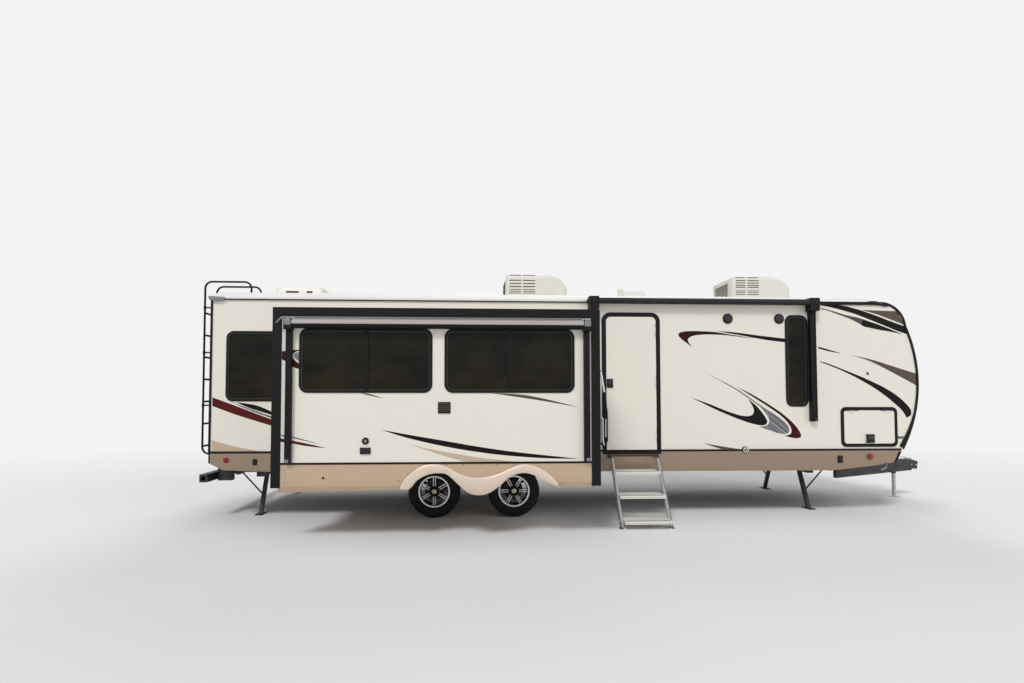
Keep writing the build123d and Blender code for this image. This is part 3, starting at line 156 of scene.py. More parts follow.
class Finish:
    """A node material under construction, round one Principled shader."""

    def __init__(self, name, colour, **numbers):
        self.material = bpy.data.materials.new(name)
        self.material.use_nodes = True
        self.tree = self.material.node_tree
        self.shader = self.tree.nodes["Principled BSDF"]
        self.colour = self.shader.inputs["Base Color"]
        self.colour.default_value = (*colour, 1)
        self.base = tuple(colour)
        self.normal = None
        self.material.diffuse_color = (*colour, 1)
        for key, value in numbers.items():
            self.shader.inputs[SHADER_SOCKETS[key]].default_value = value
        coordinates = self.tree.nodes.new("ShaderNodeTexCoord")
        self.place = coordinates.outputs["Object"]

    def node(self, kind, inputs=None, **settings):
        made = self.tree.nodes.new(kind)
        for key, value in settings.items():
            setattr(made, key, value)
        for key, value in (inputs or {}).items():
            self.feed(made.inputs[key], value)
        return made

    def feed(self, socket, value):
        if isinstance(value, bpy.types.NodeSocket):
            self.tree.links.new(value, socket)
        else:
            socket.default_value = value

    def stretched(self, stretch):
        return self.node("ShaderNodeMapping", {"Vector": self.place, "Scale": stretch}).outputs["Vector"]

    def noise(self, scale, stretch=None, detail=3.0):
        place = self.stretched(stretch) if stretch else self.place
        inputs = {"Vector": place, "Scale": scale, "Detail": detail, "Roughness": NOISE_ROUGHNESS}
        return self.node("ShaderNodeTexNoise", inputs).outputs["Fac"]

    def wave(self, scale, direction):
        inputs = {"Vector": self.place, "Scale": scale}
        return self.node("ShaderNodeTexWave", inputs, bands_direction=direction).outputs["Fac"]

    def axis(self, name):
        return self.node("ShaderNodeSeparateXYZ", {0: self.place}).outputs[name]

    def spread(self, value, from_low, from_high, to_low=0.0, to_high=1.0):
        inputs = {"Value": value, "From Min": from_low, "From Max": from_high,
                  "To Min": to_low, "To Max": to_high}
        return self.node("ShaderNodeMapRange", inputs).outputs["Result"]

    def maths(self, operation, first, second=0.0):
        return self.node("ShaderNodeMath", {0: first, 1: second}, operation=operation).outputs[0]

    def mix(self, factor, first, second):
        made = self.node("ShaderNodeMix", {"Factor": factor}, data_type="RGBA")
        for number, tone in ((6, first), (7, second)):
            self.feed(made.inputs[number], tone if isinstance(tone, bpy.types.NodeSocket) else (*tone, 1))
        return made.outputs[2]

    def ramp(self, factor, stops):
        made = self.node("ShaderNodeValToRGB", {"Fac": factor})
        elements = made.color_ramp.elements
        while len(elements) < len(stops):
            elements.new(0.5)
        for element, (where, colour) in zip(elements, stops):
            element.position = where
            element.color = (*colour, 1)
        return made.outputs["Color"]

    def paint(self, value):
        self.feed(self.colour, value)
        return self

    def shade(self, amount, scale, stretch=None):
        """Cloud the base colour between a darker and a lighter tone."""
        dark, light = times(self.base, 1 - amount), times(self.base, 1 + amount)
        return self.mix(self.noise(scale, stretch), dark, light)

    def vary_roughness(self, low, high, scale, stretch=None):
        cloud = self.spread(self.noise(scale, stretch), 0.3, 0.7, low, high)
        self.feed(self.shader.inputs["Roughness"], cloud)
        return self

    def bump(self, height, depth, strength):
        inputs = {"Height": height, "Distance": depth, "Strength": strength}
        if self.normal:
            inputs["Normal"] = self.normal
        self.normal = self.node("ShaderNodeBump", inputs).outputs["Normal"]
        self.feed(self.shader.inputs["Normal"], self.normal)
        return self


finishes = {}


def finish(key):
    """The material for one of the trailer's finishes, made at its first use."""
    if key not in finishes:
        maker, *details = MAKERS[key]
        finishes[key] = maker(*details).material
    return finishes[key]


def times(colour, factor):
    return tuple(min(1.0, c * factor) for c in colour)


def tone(key, factor=1.0):
    """One of the trailer's colours, darker or lighter by a factor."""
    return times(getattr(colours(), key), factor)


def dust_below(made, clean, dusty, top, bottom):
    """Mix a dusty tone in towards the ground."""
    fade = made.spread(made.axis("Z"), top, bottom, 0.0, 0.75)
    patch = made.spread(made.noise(7.0, detail=5), 0.25, 0.75, 0.35, 1.0)
    return made.mix(made.maths("MULTIPLY", fade, patch), clean, dusty)


# Walls, skirts and stripes share the slow waves of their sheets
SHEET_WAVES = (0.9, (1.0, 1.0, 0.35), 1)
SHEET_DEPTH = 0.003
SKIRT_DUST = (0.72, 0.48)


def make_gelcoat():
    made = Finish("gelcoat", tone("gelcoat"), roughness=0.3, specular=0.4, coat=0.15, coat_roughness=0.12)
    made.paint(made.shade(0.012, 0.5))
    made.vary_roughness(0.27, 0.33, 1.5)
    return made.bump(made.noise(*SHEET_WAVES), SHEET_DEPTH, 0.25)


def skirt_paint(name, key):
    """Metallic paint, dusty towards the ground."""
    made = Finish(name, tone(key), metallic=0.2, roughness=0.4, coat=0.2, coat_roughness=0.2)
    flakes = made.mix(made.noise(700.0, detail=1), times(made.base, 0.93), times(made.base, 1.07))
    made.paint(dust_below(made, flakes, times(made.base, 0.66), *SKIRT_DUST))
    made.vary_roughness(0.34, 0.5, 9.0)
    return made.bump(made.noise(2.2, (1, 1, 0.5), 2), SHEET_DEPTH, 0.3)


def film_finish(name, key, factor=1.0):
    """Striping film in one of the trailer's colours."""
    made = Finish(name, tone(key, factor), roughness=0.45, specular=0.12)
    made.paint(made.shade(0.06, 4.0))
    return made.bump(made.noise(*SHEET_WAVES), SHEET_DEPTH, 0.25)


def make_silver():
    """Grey stripe with finer tones brushed along its slant."""
    made = film_finish("silver stripe", "silver")
    along = made.maths("MULTIPLY", made.axis("X"), 0.62)
    up = made.maths("MULTIPLY", made.axis("Z"), 0.78)
    across = made.maths("ADD", along, up)
    inputs = {"W": across, "Scale": 34.0, "Detail": 4.0}
    brushed = made.node("ShaderNodeTexNoise", inputs, noise_dimensions="1D")
    bands = made.spread(brushed.outputs["Fac"], 0.4, 0.62)
    return made.paint(made.mix(bands, times(made.base, 0.5), times(made.base, 1.5)))


def make_claret():
    """Maroon that runs to charcoal along the body."""
    made = film_finish("claret stripe", "maroon", 0.4)
    run = made.spread(made.axis("X"), at(6.15), at(6.9))
    return made.paint(made.mix(run, made.base, tone("charcoal")))


def make_crescent():
    """Charcoal that runs to maroon towards its round end."""
    made = film_finish("crescent stripe", "maroon", 0.6)
    run = made.spread(made.axis("Z"), 1.45, 1.2)
    return made.paint(made.mix(run, tone("charcoal"), made.base))


def grained(name, colour, cloud, grain, roughness, **numbers):
    """A moulded or cast finish. Cloud is (amount, scale), grain is (scale, depth, strength)."""
    made = Finish(name, colour, roughness=roughness, **numbers)
    made.paint(made.shade(*cloud))
    scale, depth, strength = grain
    return made.bump(made.noise(scale), depth, strength)


def make_gasket():
    grey = (0.035, 0.035, 0.037)
    return grained("window gasket", grey, (0.15, 30.0), (500.0, 0.0003, 0.4), 0.4, specular=0.3)


def make_brass():
    return grained("brass cap", (0.60, 0.54, 0.36), (0.12, 60.0), (200.0, 0.0003, 0.4), 0.35, metallic=0.5)


# Painted shade: a dark finish for slots, holes and grooves, standing in for the shade inside them.
def make_recess_shade():
    return grained("dark cavity", (0.02, 0.018, 0.016), (0.3, 20.0), (90.0, 0.001, 0.5), 0.8)


def make_plastic():
    black = (0.010, 0.010, 0.010)
    return grained("black plastic", black, (0.2, 30.0), (800.0, 0.0004, 0.6), 0.5, specular=0.2)


def make_trim():
    made = Finish("black trim", tone("trim"), roughness=0.42, specular=0.15)
    worn = made.spread(made.noise(26.0, detail=6), 0.58, 0.8, 0.0, 0.25)
    made.paint(made.mix(worn, made.shade(0.12, 5.0), times(made.base, 2.0)))
    made.vary_roughness(0.36, 0.5, 40.0)
    return made.bump(made.noise(900.0, detail=2), 0.0003, 0.5)


def make_casting():
    made = Finish("cast bracket", tone("casting"), metallic=0.5, roughness=0.45)
    made.paint(made.shade(0.15, 35.0))
    return made.bump(made.noise(260.0, detail=2), 0.0005, 0.5)


def make_glass():
    """Dark tinted glass, with a painted reflection in it: faint warm shapes low down and greener ones above.
    """
    made = Finish("tinted glass", tone("glass"), roughness=0.03, specular=0.14)
    rise = made.spread(made.axis("Z"), 1.6, 2.4)
    # Painted reflection: faint patches painted into the tint, warm low down and greener higher up.
    room = made.spread(made.noise(2.2, (1.0, 1.0, 1.6), 4), 0.42, 0.6)
    low = made.mix(room, (0.007, 0.005, 0.003), (0.018, 0.012, 0.006))
    high = made.mix(room, made.base, (0.011, 0.012, 0.007))
    made.paint(made.mix(rise, low, high))
    return made.bump(made.noise(1.3, detail=1), 0.002, 0.1)


def make_membrane():
    made = Finish("roof membrane", tone("membrane"), roughness=0.62)
    stains = made.spread(made.noise(2.3, (0.6, 1.4, 1), 6), 0.45, 0.8, 0.0, 0.3)
    made.paint(made.mix(stains, made.shade(0.03, 8.0), times(made.base, 0.8)))
    made.vary_roughness(0.55, 0.72, 12.0)
    return made.bump(made.noise(260.0, detail=3), 0.0006, 0.5)


def make_chassis():
    """Black paint with road dust and spots of rust."""
    made = Finish("chassis paint", tone("chassis"), roughness=0.5)
    dust = made.spread(made.noise(9.0, detail=6), 0.45, 0.85, 0.0, 0.42)
    rust = made.spread(made.noise(31.0, detail=7), 0.66, 0.78, 0.0, 0.55)
    dusty = made.mix(dust, made.base, (0.10, 0.085, 0.068))
    made.paint(made.mix(rust, dusty, (0.11, 0.045, 0.02)))
    made.vary_roughness(0.42, 0.72, 15.0)
    return made.bump(made.noise(380.0, detail=3), 0.0004, 0.6)


def make_corrugated():
    made = Finish("corrugated sheet", tone("chassis", 1.4), roughness=0.5)
    made.paint(made.mix(made.noise(6.0, detail=5), times(made.base, 0.7), (0.06, 0.052, 0.043)))
    return made.bump(made.wave(38.0, "Y"), 0.0015, 0.6)


def make_zinc():
    spangle = ((0.3, (0.38, 0.38, 0.36)), (0.5, (0.52, 0.52, 0.51)), (0.7, (0.60, 0.60, 0.62)))
    made = Finish("zinc plate", (0.50, 0.50, 0.50), metallic=0.9, roughness=0.36)
    made.paint(made.ramp(made.noise(34.0, detail=4), spangle))
    made.vary_roughness(0.28, 0.5, 30.0)
    return made.bump(made.noise(300.0), 0.0003, 0.4)


# Drawn aluminium: how its tones, its gloss and its fine lines run along X
DRAWN_TONES = (0.06, 3.0, (1, 60, 60))
DRAWN_GLOSS = (4.0, (1, 70, 70))
DRAWN_LINES = (5.0, (1, 160, 160), 2)


def make_mill():
    made = Finish("mill aluminium", tone("aluminium"), metallic=0.85, roughness=0.34)
    made.paint(made.shade(*DRAWN_TONES))
    made.vary_roughness(0.28, 0.46, *DRAWN_GLOSS)
    return made.bump(made.noise(*DRAWN_LINES), 0.0004, 0.5)


def make_steps():
    """Bright treads between stringers with painted shade on their outer sides, and a dark bar at the top."""
    made = Finish("step metal", (0.80, 0.78, 0.72), metallic=0.25, roughness=0.42)
    aside = made.maths("ABSOLUTE", made.maths("SUBTRACT", made.axis("X"), at(STEP_STATION)))
    on_stringer = made.maths("GREATER_THAN", aside, STEP_HALF - STRINGER_WIDTH)
    outside = made.maths("GREATER_THAN", aside, STEP_HALF - STRINGER_FACE)
    worn = made.noise(40.0, detail=5)
    grey = made.mix(worn, (0.34, 0.34, 0.345), (0.48, 0.48, 0.48))
    # Painted shade on the stringers' outer sides.
    shaded_sides = made.mix(worn, (0.12, 0.12, 0.12), (0.19, 0.19, 0.19))
    dark = made.mix(worn, (0.020, 0.020, 0.020), (0.045, 0.043, 0.040))
    treads = made.mix(on_stringer, made.shade(*DRAWN_TONES), made.mix(outside, grey, shaded_sides))
    made.paint(made.mix(made.maths("GREATER_THAN", made.axis("Z"), STEP_BAR_LOW), treads, dark))
    made.vary_roughness(0.34, 0.5, *DRAWN_GLOSS)
    return made.bump(made.noise(*DRAWN_LINES), 0.0004, 0.5)


def make_rubber():
    made = Finish("tyre rubber", tone("rubber"), roughness=0.78, specular=0.2)
    dust = made.spread(made.noise(22.0, detail=6), 0.4, 0.9, 0.0, 0.35)
    made.paint(made.mix(dust, made.base, (0.062, 0.055, 0.047)))
    return made.bump(made.noise(330.0, detail=3), 0.0005, 0.6)


def make_wheel():
    made = Finish("wheel paint", (0.006, 0.006, 0.006), roughness=0.5, specular=0.12)
    dust = made.spread(made.noise(30.0, detail=6), 0.5, 0.8, 0.0, 0.3)
    made.paint(made.mix(dust, made.base, (0.03, 0.026, 0.022)))
    return made.bump(made.noise(240.0), 0.0002, 0.3)


def make_machined():
    made = Finish("machined aluminium", tone("aluminium", 1.15), metallic=0.55, roughness=0.32)
    made.paint(made.shade(0.08, 60.0))
    made.vary_roughness(0.24, 0.4, 90.0)
    return made.bump(made.noise(400.0), 0.0002, 0.3)


def make_moulding():
    made = Finish("moulded cover", tone("moulding"), roughness=0.5, coat=0.05)
    grime = made.spread(made.noise(5.0, (1, 1, 2.5), 6), 0.5, 0.85, 0.0, 0.28)
    made.paint(made.mix(grime, made.shade(0.03, 4.0), times(made.base, 0.68)))
    return made.bump(made.noise(520.0, detail=2), 0.0004, 0.45)


def lens_finish(name, colour, direction):
    """A coloured lens with fine ribs across a direction."""
    made = Finish(name, colour, roughness=0.25, specular=0.25)
    return made.paint(made.shade(0.16, 40.0)).bump(made.wave(95.0, direction), 0.0008, 0.6)


def make_clear():
    made = Finish("reversing lens", (0.62, 0.62, 0.60), roughness=0.12, coat=0.5)
    return made.paint(made.shade(0.1, 14.0)).bump(made.wave(120.0, "Z"), 0.0006, 0.5)


def make_plywood():
    made = Finish("plywood", (0.35, 0.24, 0.14), roughness=0.7)
    made.paint(made.mix(made.noise(3.0, (1, 14, 14), 5), times(made.base, 0.75), times(made.base, 1.2)))
    return made.bump(made.noise(8.0, (1, 30, 30)), 0.0006, 0.5)


# Rolled fabric: how its folds run along the roller
FABRIC_FOLDS = (2.0, (0.4, 18, 18))


def make_roller():
    """Cover over rolled awning fabric, with faint lengthwise streaks."""
    made = Finish("roller cover", tone("roller"), roughness=0.5, specular=0.4)
    made.paint(made.shade(0.08, 3.0, (0.4, 14, 14)))
    return made.bump(made.noise(*FABRIC_FOLDS), 0.002, 0.3)


def make_canvas():
    made = Finish("awning fabric", (0.018, 0.018, 0.021), roughness=0.8, specular=0.3, sheen=0.1)
    made.paint(made.shade(0.18, 3.0, (0.4, 8, 8)))
    made.bump(made.wave(170.0, "X"), 0.0004, 0.4)
    return made.bump(made.noise(*FABRIC_FOLDS), 0.003, 0.4)


# Mesh building

BEVEL_PROFILE = 0.6
SAME_VERTEX = 1e-6
WELD_GAP = 0.00002
SOFT_ANGLE = radians(50)     # edges that turn more than this are softened
TUBE_UP = Vector((0.13, 0.27, 0.95))


def axes_round(axis):
    """An axis as a unit vector, and two more across it."""
    axis = Vector(axis).normalized()
    first = axis.orthogonal().normalized()
    return axis, first, axis.cross(first)


class Piece:
    """One object under construction, in the part's frame."""

    def __init__(self, name):
        self.name = name
        self.mesh = bmesh.new()
        self.slots = []

    def dress(self, faces, key):
        if key not in self.slots:
            self.slots.append(key)
        index = self.slots.index(key)
        for face in faces:
            face.material_index = index

    def soften(self, vertices, key, edge, steps):
        """Bevel every edge round the given vertices."""
        faces = {face for vertex in vertices for face in vertex.link_faces}
        edges = list({e for face in faces for e in face.edges})
        done = bmesh.ops.bevel(self.mesh, geom=edges, offset=edge, segments=steps, affect="EDGES",
                               profile=BEVEL_PROFILE)
        self.dress(done["faces"], key)

    def box(self, low, high, key, edge=0.0):
        low, high = Vector(map(min, low, high)), Vector(map(max, low, high))
        corners = bmesh.ops.create_cube(self.mesh, size=1)["verts"]
        for vertex in corners:
            vertex.co = Vector((c + 0.5) * (h - l) + l for c, l, h in zip(vertex.co, low, high))
        self.dress({face for vertex in corners for face in vertex.link_faces}, key)
        if edge:
            self.soften(corners, key, edge, 2)
        return self

    def prism(self, outline, along, key, edge=0.0, steps=2):
        """A closed outline of points pushed along a vector."""
        base = [self.mesh.verts.new(point) for point in outline]
        face = self.mesh.faces.new(base)
        done = bmesh.ops.extrude_face_region(self.mesh, geom=[face])
        moved = [g for g in done["geom"] if isinstance(g, bmesh.types.BMVert)]
        bmesh.ops.translate(self.mesh, verts=moved, vec=Vector(along))
        faces = list({f for vertex in base + moved for f in vertex.link_faces})
        bmesh.ops.recalc_face_normals(self.mesh, faces=faces)
        self.dress(faces, key)
        if edge:
            self.soften(base + moved, key, edge, steps)
        return self

    def skin(self, rings, key, closed=False):
        """Faces between rings of as many vertices each, with a cap at both ends unless it is closed."""
        faces = []
        following = rings[1:] + rings[:1] if closed else rings[1:]
        for near, far in zip(rings, following):
            for corner in range(len(near)):
                after = (corner + 1) % len(near)
                faces.append(self.mesh.faces.new((near[corner], near[after], far[after], far[corner])))
        if not closed:
            faces.append(self.mesh.faces.new(list(reversed(rings[0]))))
            faces.append(self.mesh.faces.new(rings[-1]))
        bmesh.ops.recalc_face_normals(self.mesh, faces=faces)
        self.dress(faces, key)
        return self

    def tube(self, points, radius, key, sides=12):
        """A round rod through the given points."""
        turns = [2 * pi * n / sides for n in range(sides)]
        rings = []
        for number, point in enumerate(points):
            ahead = points[min(number + 1, len(points) - 1)]
            behind = points[max(number - 1, 0)]
            along = (Vector(ahead) - Vector(behind)).normalized()
            up = (TUBE_UP - along * TUBE_UP.dot(along)).normalized()
            side = along.cross(up)
            spokes = [side * (radius * cos(turn)) + up * (radius * sin(turn)) for turn in turns]
            rings.append([self.mesh.verts.new(Vector(point) + spoke) for spoke in spokes])
        return self.skin(rings, key)

    def lathe(self, profile, centre, axis, key, steps, shape=None):
        """A closed profile of (along, radius) points turned round an axis through the centre."""
        axis, first, second = axes_round(axis)
        rings = []
        for step in range(steps):
            angle = 2 * pi * step / steps
            spoke = first * cos(angle) + second * sin(angle)
            ring = []
            for along, radius in profile:
                if shape:
                    radius = shape(step, radius)
                ring.append(self.mesh.verts.new(Vector(centre) + axis * along + spoke * radius))
            rings.append(ring)
        return self.skin(rings, key, closed=True)

    def disc(self, centre, axis, radius, height, key, edge=0.0, steps=32):
        """A short solid round, with a softened outer rim."""
        axis, first, second = axes_round(axis)
        edge = edge or height * 0.25
        turns = [2 * pi * n / steps for n in range(steps)]
        spokes = [first * cos(turn) + second * sin(turn) for turn in turns]
        levels = ((0, radius), (height - edge, radius), (height - edge * 0.3, radius - edge * 0.3),
                  (height, radius - edge))
        rings = []
        for along, reach in levels:
            middle = Vector(centre) + axis * along
            rings.append([self.mesh.verts.new(middle + spoke * reach) for spoke in spokes])
        return self.skin(rings, key)

    def done(self, body, slot=None, replaces=(), smooth=True, angle=40):
        """Make the object, let it ride on a body and hide the parts that it replaces. The slot is not used.
        """
        bmesh.ops.remove_doubles(self.mesh, verts=self.mesh.verts, dist=SAME_VERTEX)
        data = bpy.data.meshes.new(self.name)
        self.mesh.to_mesh(data)
        self.mesh.free()
        made = bpy.data.objects.new(self.name, data)
        bpy.context.scene.collection.objects.link(made)
        for key in self.slots:
            data.materials.append(finish(key))
        if smooth:
            data.shade_smooth()
            data.set_sharp_from_angle(angle=radians(angle))
        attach(made, body)
        if replaces:
            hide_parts(*replaces)
        return made


CORNER_STEPS = 7


def rounded_rectangle(x, z, width, tall, radius):
    """Points (x, z) round a rectangle with rounded corners, from the right of its top."""
    points = []
    for turn, (sx, sz) in enumerate(((1, 1), (-1, 1), (-1, -1), (1, -1))):
        centre_x = x + sx * (width / 2 - radius)
        centre_z = z + sz * (tall / 2 - radius)
        for step in range(CORNER_STEPS + 1):
            angle = pi / 2 * (turn + step / CORNER_STEPS)
            points.append((centre_x + radius * cos(angle), centre_z + radius * sin(angle)))
    return points


def curve_through(points, steps=8):
    """Points of a smooth curve through the given ones (Catmull-Rom)."""
    if len(points) < 3:
        return [Vector(p) for p in points]
    ends = [Vector(points[0]) * 2 - Vector(points[1])] + [Vector(p) for p in points]
    ends.append(Vector(points[-1]) * 2 - Vector(points[-2]))
    made = []
    for before, start, stop, after in zip(ends, ends[1:], ends[2:], ends[3:]):
        for step in range(steps):
            t = step / steps
            bend = (2 * before - 5 * start + 4 * stop - after) * t * t
            twist = (3 * start - before - 3 * stop + after) * t ** 3
            made.append(0.5 * (2 * start + (stop - before) * t + bend + twist))
    made.append(Vector(points[-1]))
    return made


def dress_node(name, key, edge=0.0):
    """Give a CAD node its finish, and softened edges where asked."""
    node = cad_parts[name]
    node.data.materials.clear()
    node.data.materials.append(finish(key))
    if edge:
        weld = node.modifiers.new("weld", "WELD")
        weld.merge_threshold = WELD_GAP
        bevel = node.modifiers.new("soft edges", "BEVEL")
        bevel.width = edge
        bevel.segments = 2
        bevel.limit_method = "ANGLE"
        bevel.angle_limit = SOFT_ANGLE
        bevel.harden_normals = True


# Stripes: name, finish, and strokes of (station, height) points. An outline turns a corner only
# where one stroke ends and the next begins, and runs straight over any gap between them
FRONT_STRIPES = (
    ("nose_band", "charcoal", (
        ((8.134, 2.851), (8.373, 2.849), (8.558, 2.814), (8.723, 2.768), (8.909, 2.706), (9.095, 2.636),
         (9.313, 2.56)),
        ((9.313, 2.56), (9.34, 2.505), (9.357, 2.451)),
        ((9.357, 2.451), (9.217, 2.493), (9.01, 2.575), (8.804, 2.655), (8.618, 2.724), (8.443, 2.773),
         (8.289, 2.812), (8.134, 2.843)))),
    ("nose_wedge", "umber", (
        ((8.703, 2.784), (8.963, 2.775), (9.21, 2.769)),
        ((9.21, 2.769), (9.262, 2.673), (9.304, 2.583)),
        ((9.304, 2.583), (9.096, 2.661), (8.91, 2.727), (8.703, 2.784)))),
    ("nose_arrow_grey", "slate", (
        ((8.133, 2.806), (8.287, 2.767), (8.473, 2.713), (8.617, 2.684), (8.72, 2.656)),
        ((8.69, 2.58), (8.636, 2.613), (8.513, 2.668), (8.39, 2.712), (8.236, 2.767), (8.133, 2.789)))),
    ("nose_arrow_black", "charcoal", (
        ((8.722, 2.655), (8.762, 2.64), (8.907, 2.594), (9.062, 2.537), (9.227, 2.47), (9.268, 2.45)),
        ((9.268, 2.45), (9.112, 2.485), (8.956, 2.509), (8.832, 2.534), (8.739, 2.553), (8.692, 2.579)))),
    ("nose_line_start", "charcoal", (
        ((7.966, 2.298), (7.998, 2.291)),
        ((7.998, 2.291), (7.966, 2.258)),
        ((7.966, 2.258), (7.966, 2.298)))),
    ("nose_line", "charcoal", (
        ((8.085, 2.274), (8.25, 2.228), (8.41, 2.182)),
        ((8.41, 2.182), (8.25, 2.208), (8.085, 2.249)))),
    ("nose_blade", "umber", (
        ((8.54, 2.165), (8.84, 2.098), (9.09, 2.022), (9.452, 1.912)),
        ((9.452, 1.912), (9.462, 1.83), (9.466, 1.742)),
        ((9.466, 1.742), (9.22, 1.874), (8.97, 2.002), (8.78, 2.088), (8.54, 2.165)))),
    ("nose_scythe", "charcoal", (
        ((8.095, 2.076), (8.21, 2.046), (8.46, 1.952), (8.71, 1.852), (8.96, 1.738), (9.15, 1.628),
         (9.28, 1.52), (9.355, 1.435), (9.374, 1.385), (9.358, 1.335), (9.3, 1.308)),
        ((9.3, 1.308), (9.285, 1.345), (9.235, 1.415), (9.14, 1.502), (9.02, 1.6), (8.83, 1.73),
         (8.58, 1.868), (8.34, 1.978), (8.095, 2.07)))),
    ("hook", "claret", (
        ((6.335, 2.262), (6.24, 2.328), (6.17, 2.385), (6.145, 2.425), (6.163, 2.455), (6.23, 2.472),
         (6.33, 2.478), (6.45, 2.477), (6.63, 2.468), (6.81, 2.442), (7.05, 2.404), (7.19, 2.382)),
        ((7.19, 2.382), (7.05, 2.396), (6.81, 2.424), (6.57, 2.434), (6.4, 2.424), (6.31, 2.4),
         (6.275, 2.365), (6.285, 2.325), (6.335, 2.262)))),
    ("hook_arc", "charcoal", (
        ((6.67, 2.478), (6.81, 2.473), (6.99, 2.456), (7.29, 2.418), (7.65, 2.38)),
        ((7.65, 2.33), (7.41, 2.356), (7.23, 2.384), (7.05, 2.416), (6.87, 2.446), (6.67, 2.478)))),
    ("crescent_black", "charcoal", (
        ((6.31, 1.582), (6.44, 1.52), (6.67, 1.41), (6.91, 1.31), (7.09, 1.246), (7.23, 1.212),
         (7.31, 1.213), (7.348, 1.245), (7.335, 1.3), (7.27, 1.395), (7.19, 1.482), (7.09, 1.562)),
        ((7.09, 1.562), (7.145, 1.475), (7.168, 1.41), (7.15, 1.355), (7.09, 1.332), (6.98, 1.342),
         (6.79, 1.402), (6.56, 1.494), (6.31, 1.582)))),
    ("crescent_grey", "silver", (
        ((6.52, 1.912), (6.74, 1.803), (6.92, 1.708), (7.07, 1.612), (7.16, 1.548), (7.34, 1.425),
         (7.47, 1.345), (7.58, 1.262), (7.645, 1.18), (7.65, 1.125), (7.605, 1.093), (7.5, 1.103),
         (7.38, 1.14), (7.24, 1.192)),
        ((7.24, 1.192), (7.335, 1.203), (7.378, 1.25), (7.365, 1.32), (7.31, 1.395), (7.24, 1.47),
         (7.08, 1.582), (6.92, 1.69), (6.74, 1.793), (6.52, 1.912)))),
    ("crescent_red", "crescent", (
        ((6.94, 1.728), (7.15, 1.622), (7.39, 1.48), (7.57, 1.358), (7.72, 1.225), (7.795, 1.125),
         (7.815, 1.065), (7.788, 1.037), (7.71, 1.036), (7.58, 1.066)),
        ((7.58, 1.066), (7.645, 1.078), (7.682, 1.112), (7.676, 1.175), (7.62, 1.262), (7.51, 1.362),
         (7.33, 1.484), (7.15, 1.596), (6.94, 1.728)))),
    ("front_tan", "umber", (
        ((6.46, 0.972), (6.68, 0.934), (6.95, 0.892)),
        ((6.715, 0.892), (6.6, 0.926), (6.46, 0.972)))),
)
REAR_STRIPES = (
    ("rear_band", "maroon", (
        ((0.032, 1.585), (0.28, 1.492), (0.56, 1.385), (0.86, 1.27)),
        ((0.86, 1.195), (0.56, 1.288), (0.28, 1.38), (0.032, 1.475)))),
    ("rear_sliver", "charcoal", (
        ((0.33, 1.52), (0.46, 1.505), (0.585, 1.482), (0.715, 1.432), (0.83, 1.372)),
        ((0.83, 1.34), (0.7, 1.385), (0.5, 1.448), (0.33, 1.52)))),
    ("rear_sliver_grey", "silver", (
        ((0.25, 1.528), (0.48, 1.448), (0.66, 1.384), (0.84, 1.316)),
        ((0.84, 1.294), (0.66, 1.36), (0.48, 1.428), (0.25, 1.528)))),
    ("rear_tan", "tan", (
        ((0.032, 1.035), (0.28, 0.965), (0.46, 0.923), (0.64, 0.892)),
        ((0.64, 0.892), (0.032, 0.892)),
        ((0.032, 0.892), (0.032, 1.035)))),
)
# On the road side no slide-out room covers the front ends of the rear stripes
ROAD_REAR_STRIPES = (
    ("rear_band_end", "maroon", (
        ((0.859, 1.2704), (1.06, 1.204), (1.262, 1.142), (1.52, 1.082), (1.77, 1.028)),
        ((1.77, 1.028), (1.52, 1.06), (1.262, 1.102), (1.06, 1.146), (0.859, 1.1953)))),
    ("rear_sliver_end", "charcoal", (
        ((0.829, 1.3725), (0.98, 1.3), (1.16, 1.226)),
        ((1.16, 1.226), (0.98, 1.284), (0.829, 1.3403)))),
    ("rear_line_end", "silver", (
        ((0.839, 1.3164), (1.05, 1.248), (1.262, 1.182), (1.48, 1.122), (1.7, 1.072)),
        ((1.7, 1.072), (1.48, 1.112), (1.262, 1.168), (1.05, 1.23), (0.839, 1.2944)))),
)
SLIDE_STRIPES = (
    ("slide_line", "silver", (
        ((1.262, 1.182), (1.38, 1.16), (1.52, 1.124), (1.7, 1.072)),
        ((1.7, 1.072), (1.52, 1.112), (1.38, 1.146), (1.262, 1.168)))),
    ("slide_taper", "maroon", (
        ((1.262, 1.138), (1.38, 1.116), (1.57, 1.076), (1.77, 1.028)),
        ((1.77, 1.028), (1.57, 1.05), (1.38, 1.084), (1.262, 1.102)))),
    ("slide_blade", "charcoal", (
        ((2.36, 1.228), (2.62, 1.18), (3.01, 1.112), (3.4, 1.043), (3.79, 0.984), (4.19, 0.938),
         (4.57, 0.897)),
        ((4.57, 0.897), (4.26, 0.903), (3.95, 0.921), (3.64, 0.95), (3.32, 0.996), (3.09, 1.037),
         (2.86, 1.086), (2.62, 1.146), (2.36, 1.228)))),
    ("slide_tan", "tan", (
        ((2.66, 1.07), (2.86, 1.02), (3.17, 0.962), (3.48, 0.912), (3.83, 0.872)),
        ((3.29, 0.872), (3.07, 0.933), (2.86, 1.003), (2.66, 1.07)))),
    ("slide_thin", "umber", (
        ((3.58, 1.632), (3.89, 1.618), (4.16, 1.574), (4.57, 1.474)),
        ((4.57, 1.474), (4.16, 1.546), (3.8, 1.601), (3.58, 1.632)))),
    ("slide_hair", "umber", (
        ((2.13, 1.633), (2.216, 1.625), (2.3, 1.603), (2.392, 1.575)),
        ((2.392, 1.575), (2.3, 1.592), (2.2, 1.613), (2.13, 1.633)))),
    ("slide_hook", "hook_red", (
        ((1.274, 2.093), (1.316, 2.099), (1.371, 2.103), (1.48, 2.113)),
        ((1.48, 1.904), (1.445, 1.902), (1.387, 1.928), (1.323, 1.978), (1.274, 2.003)))),
)
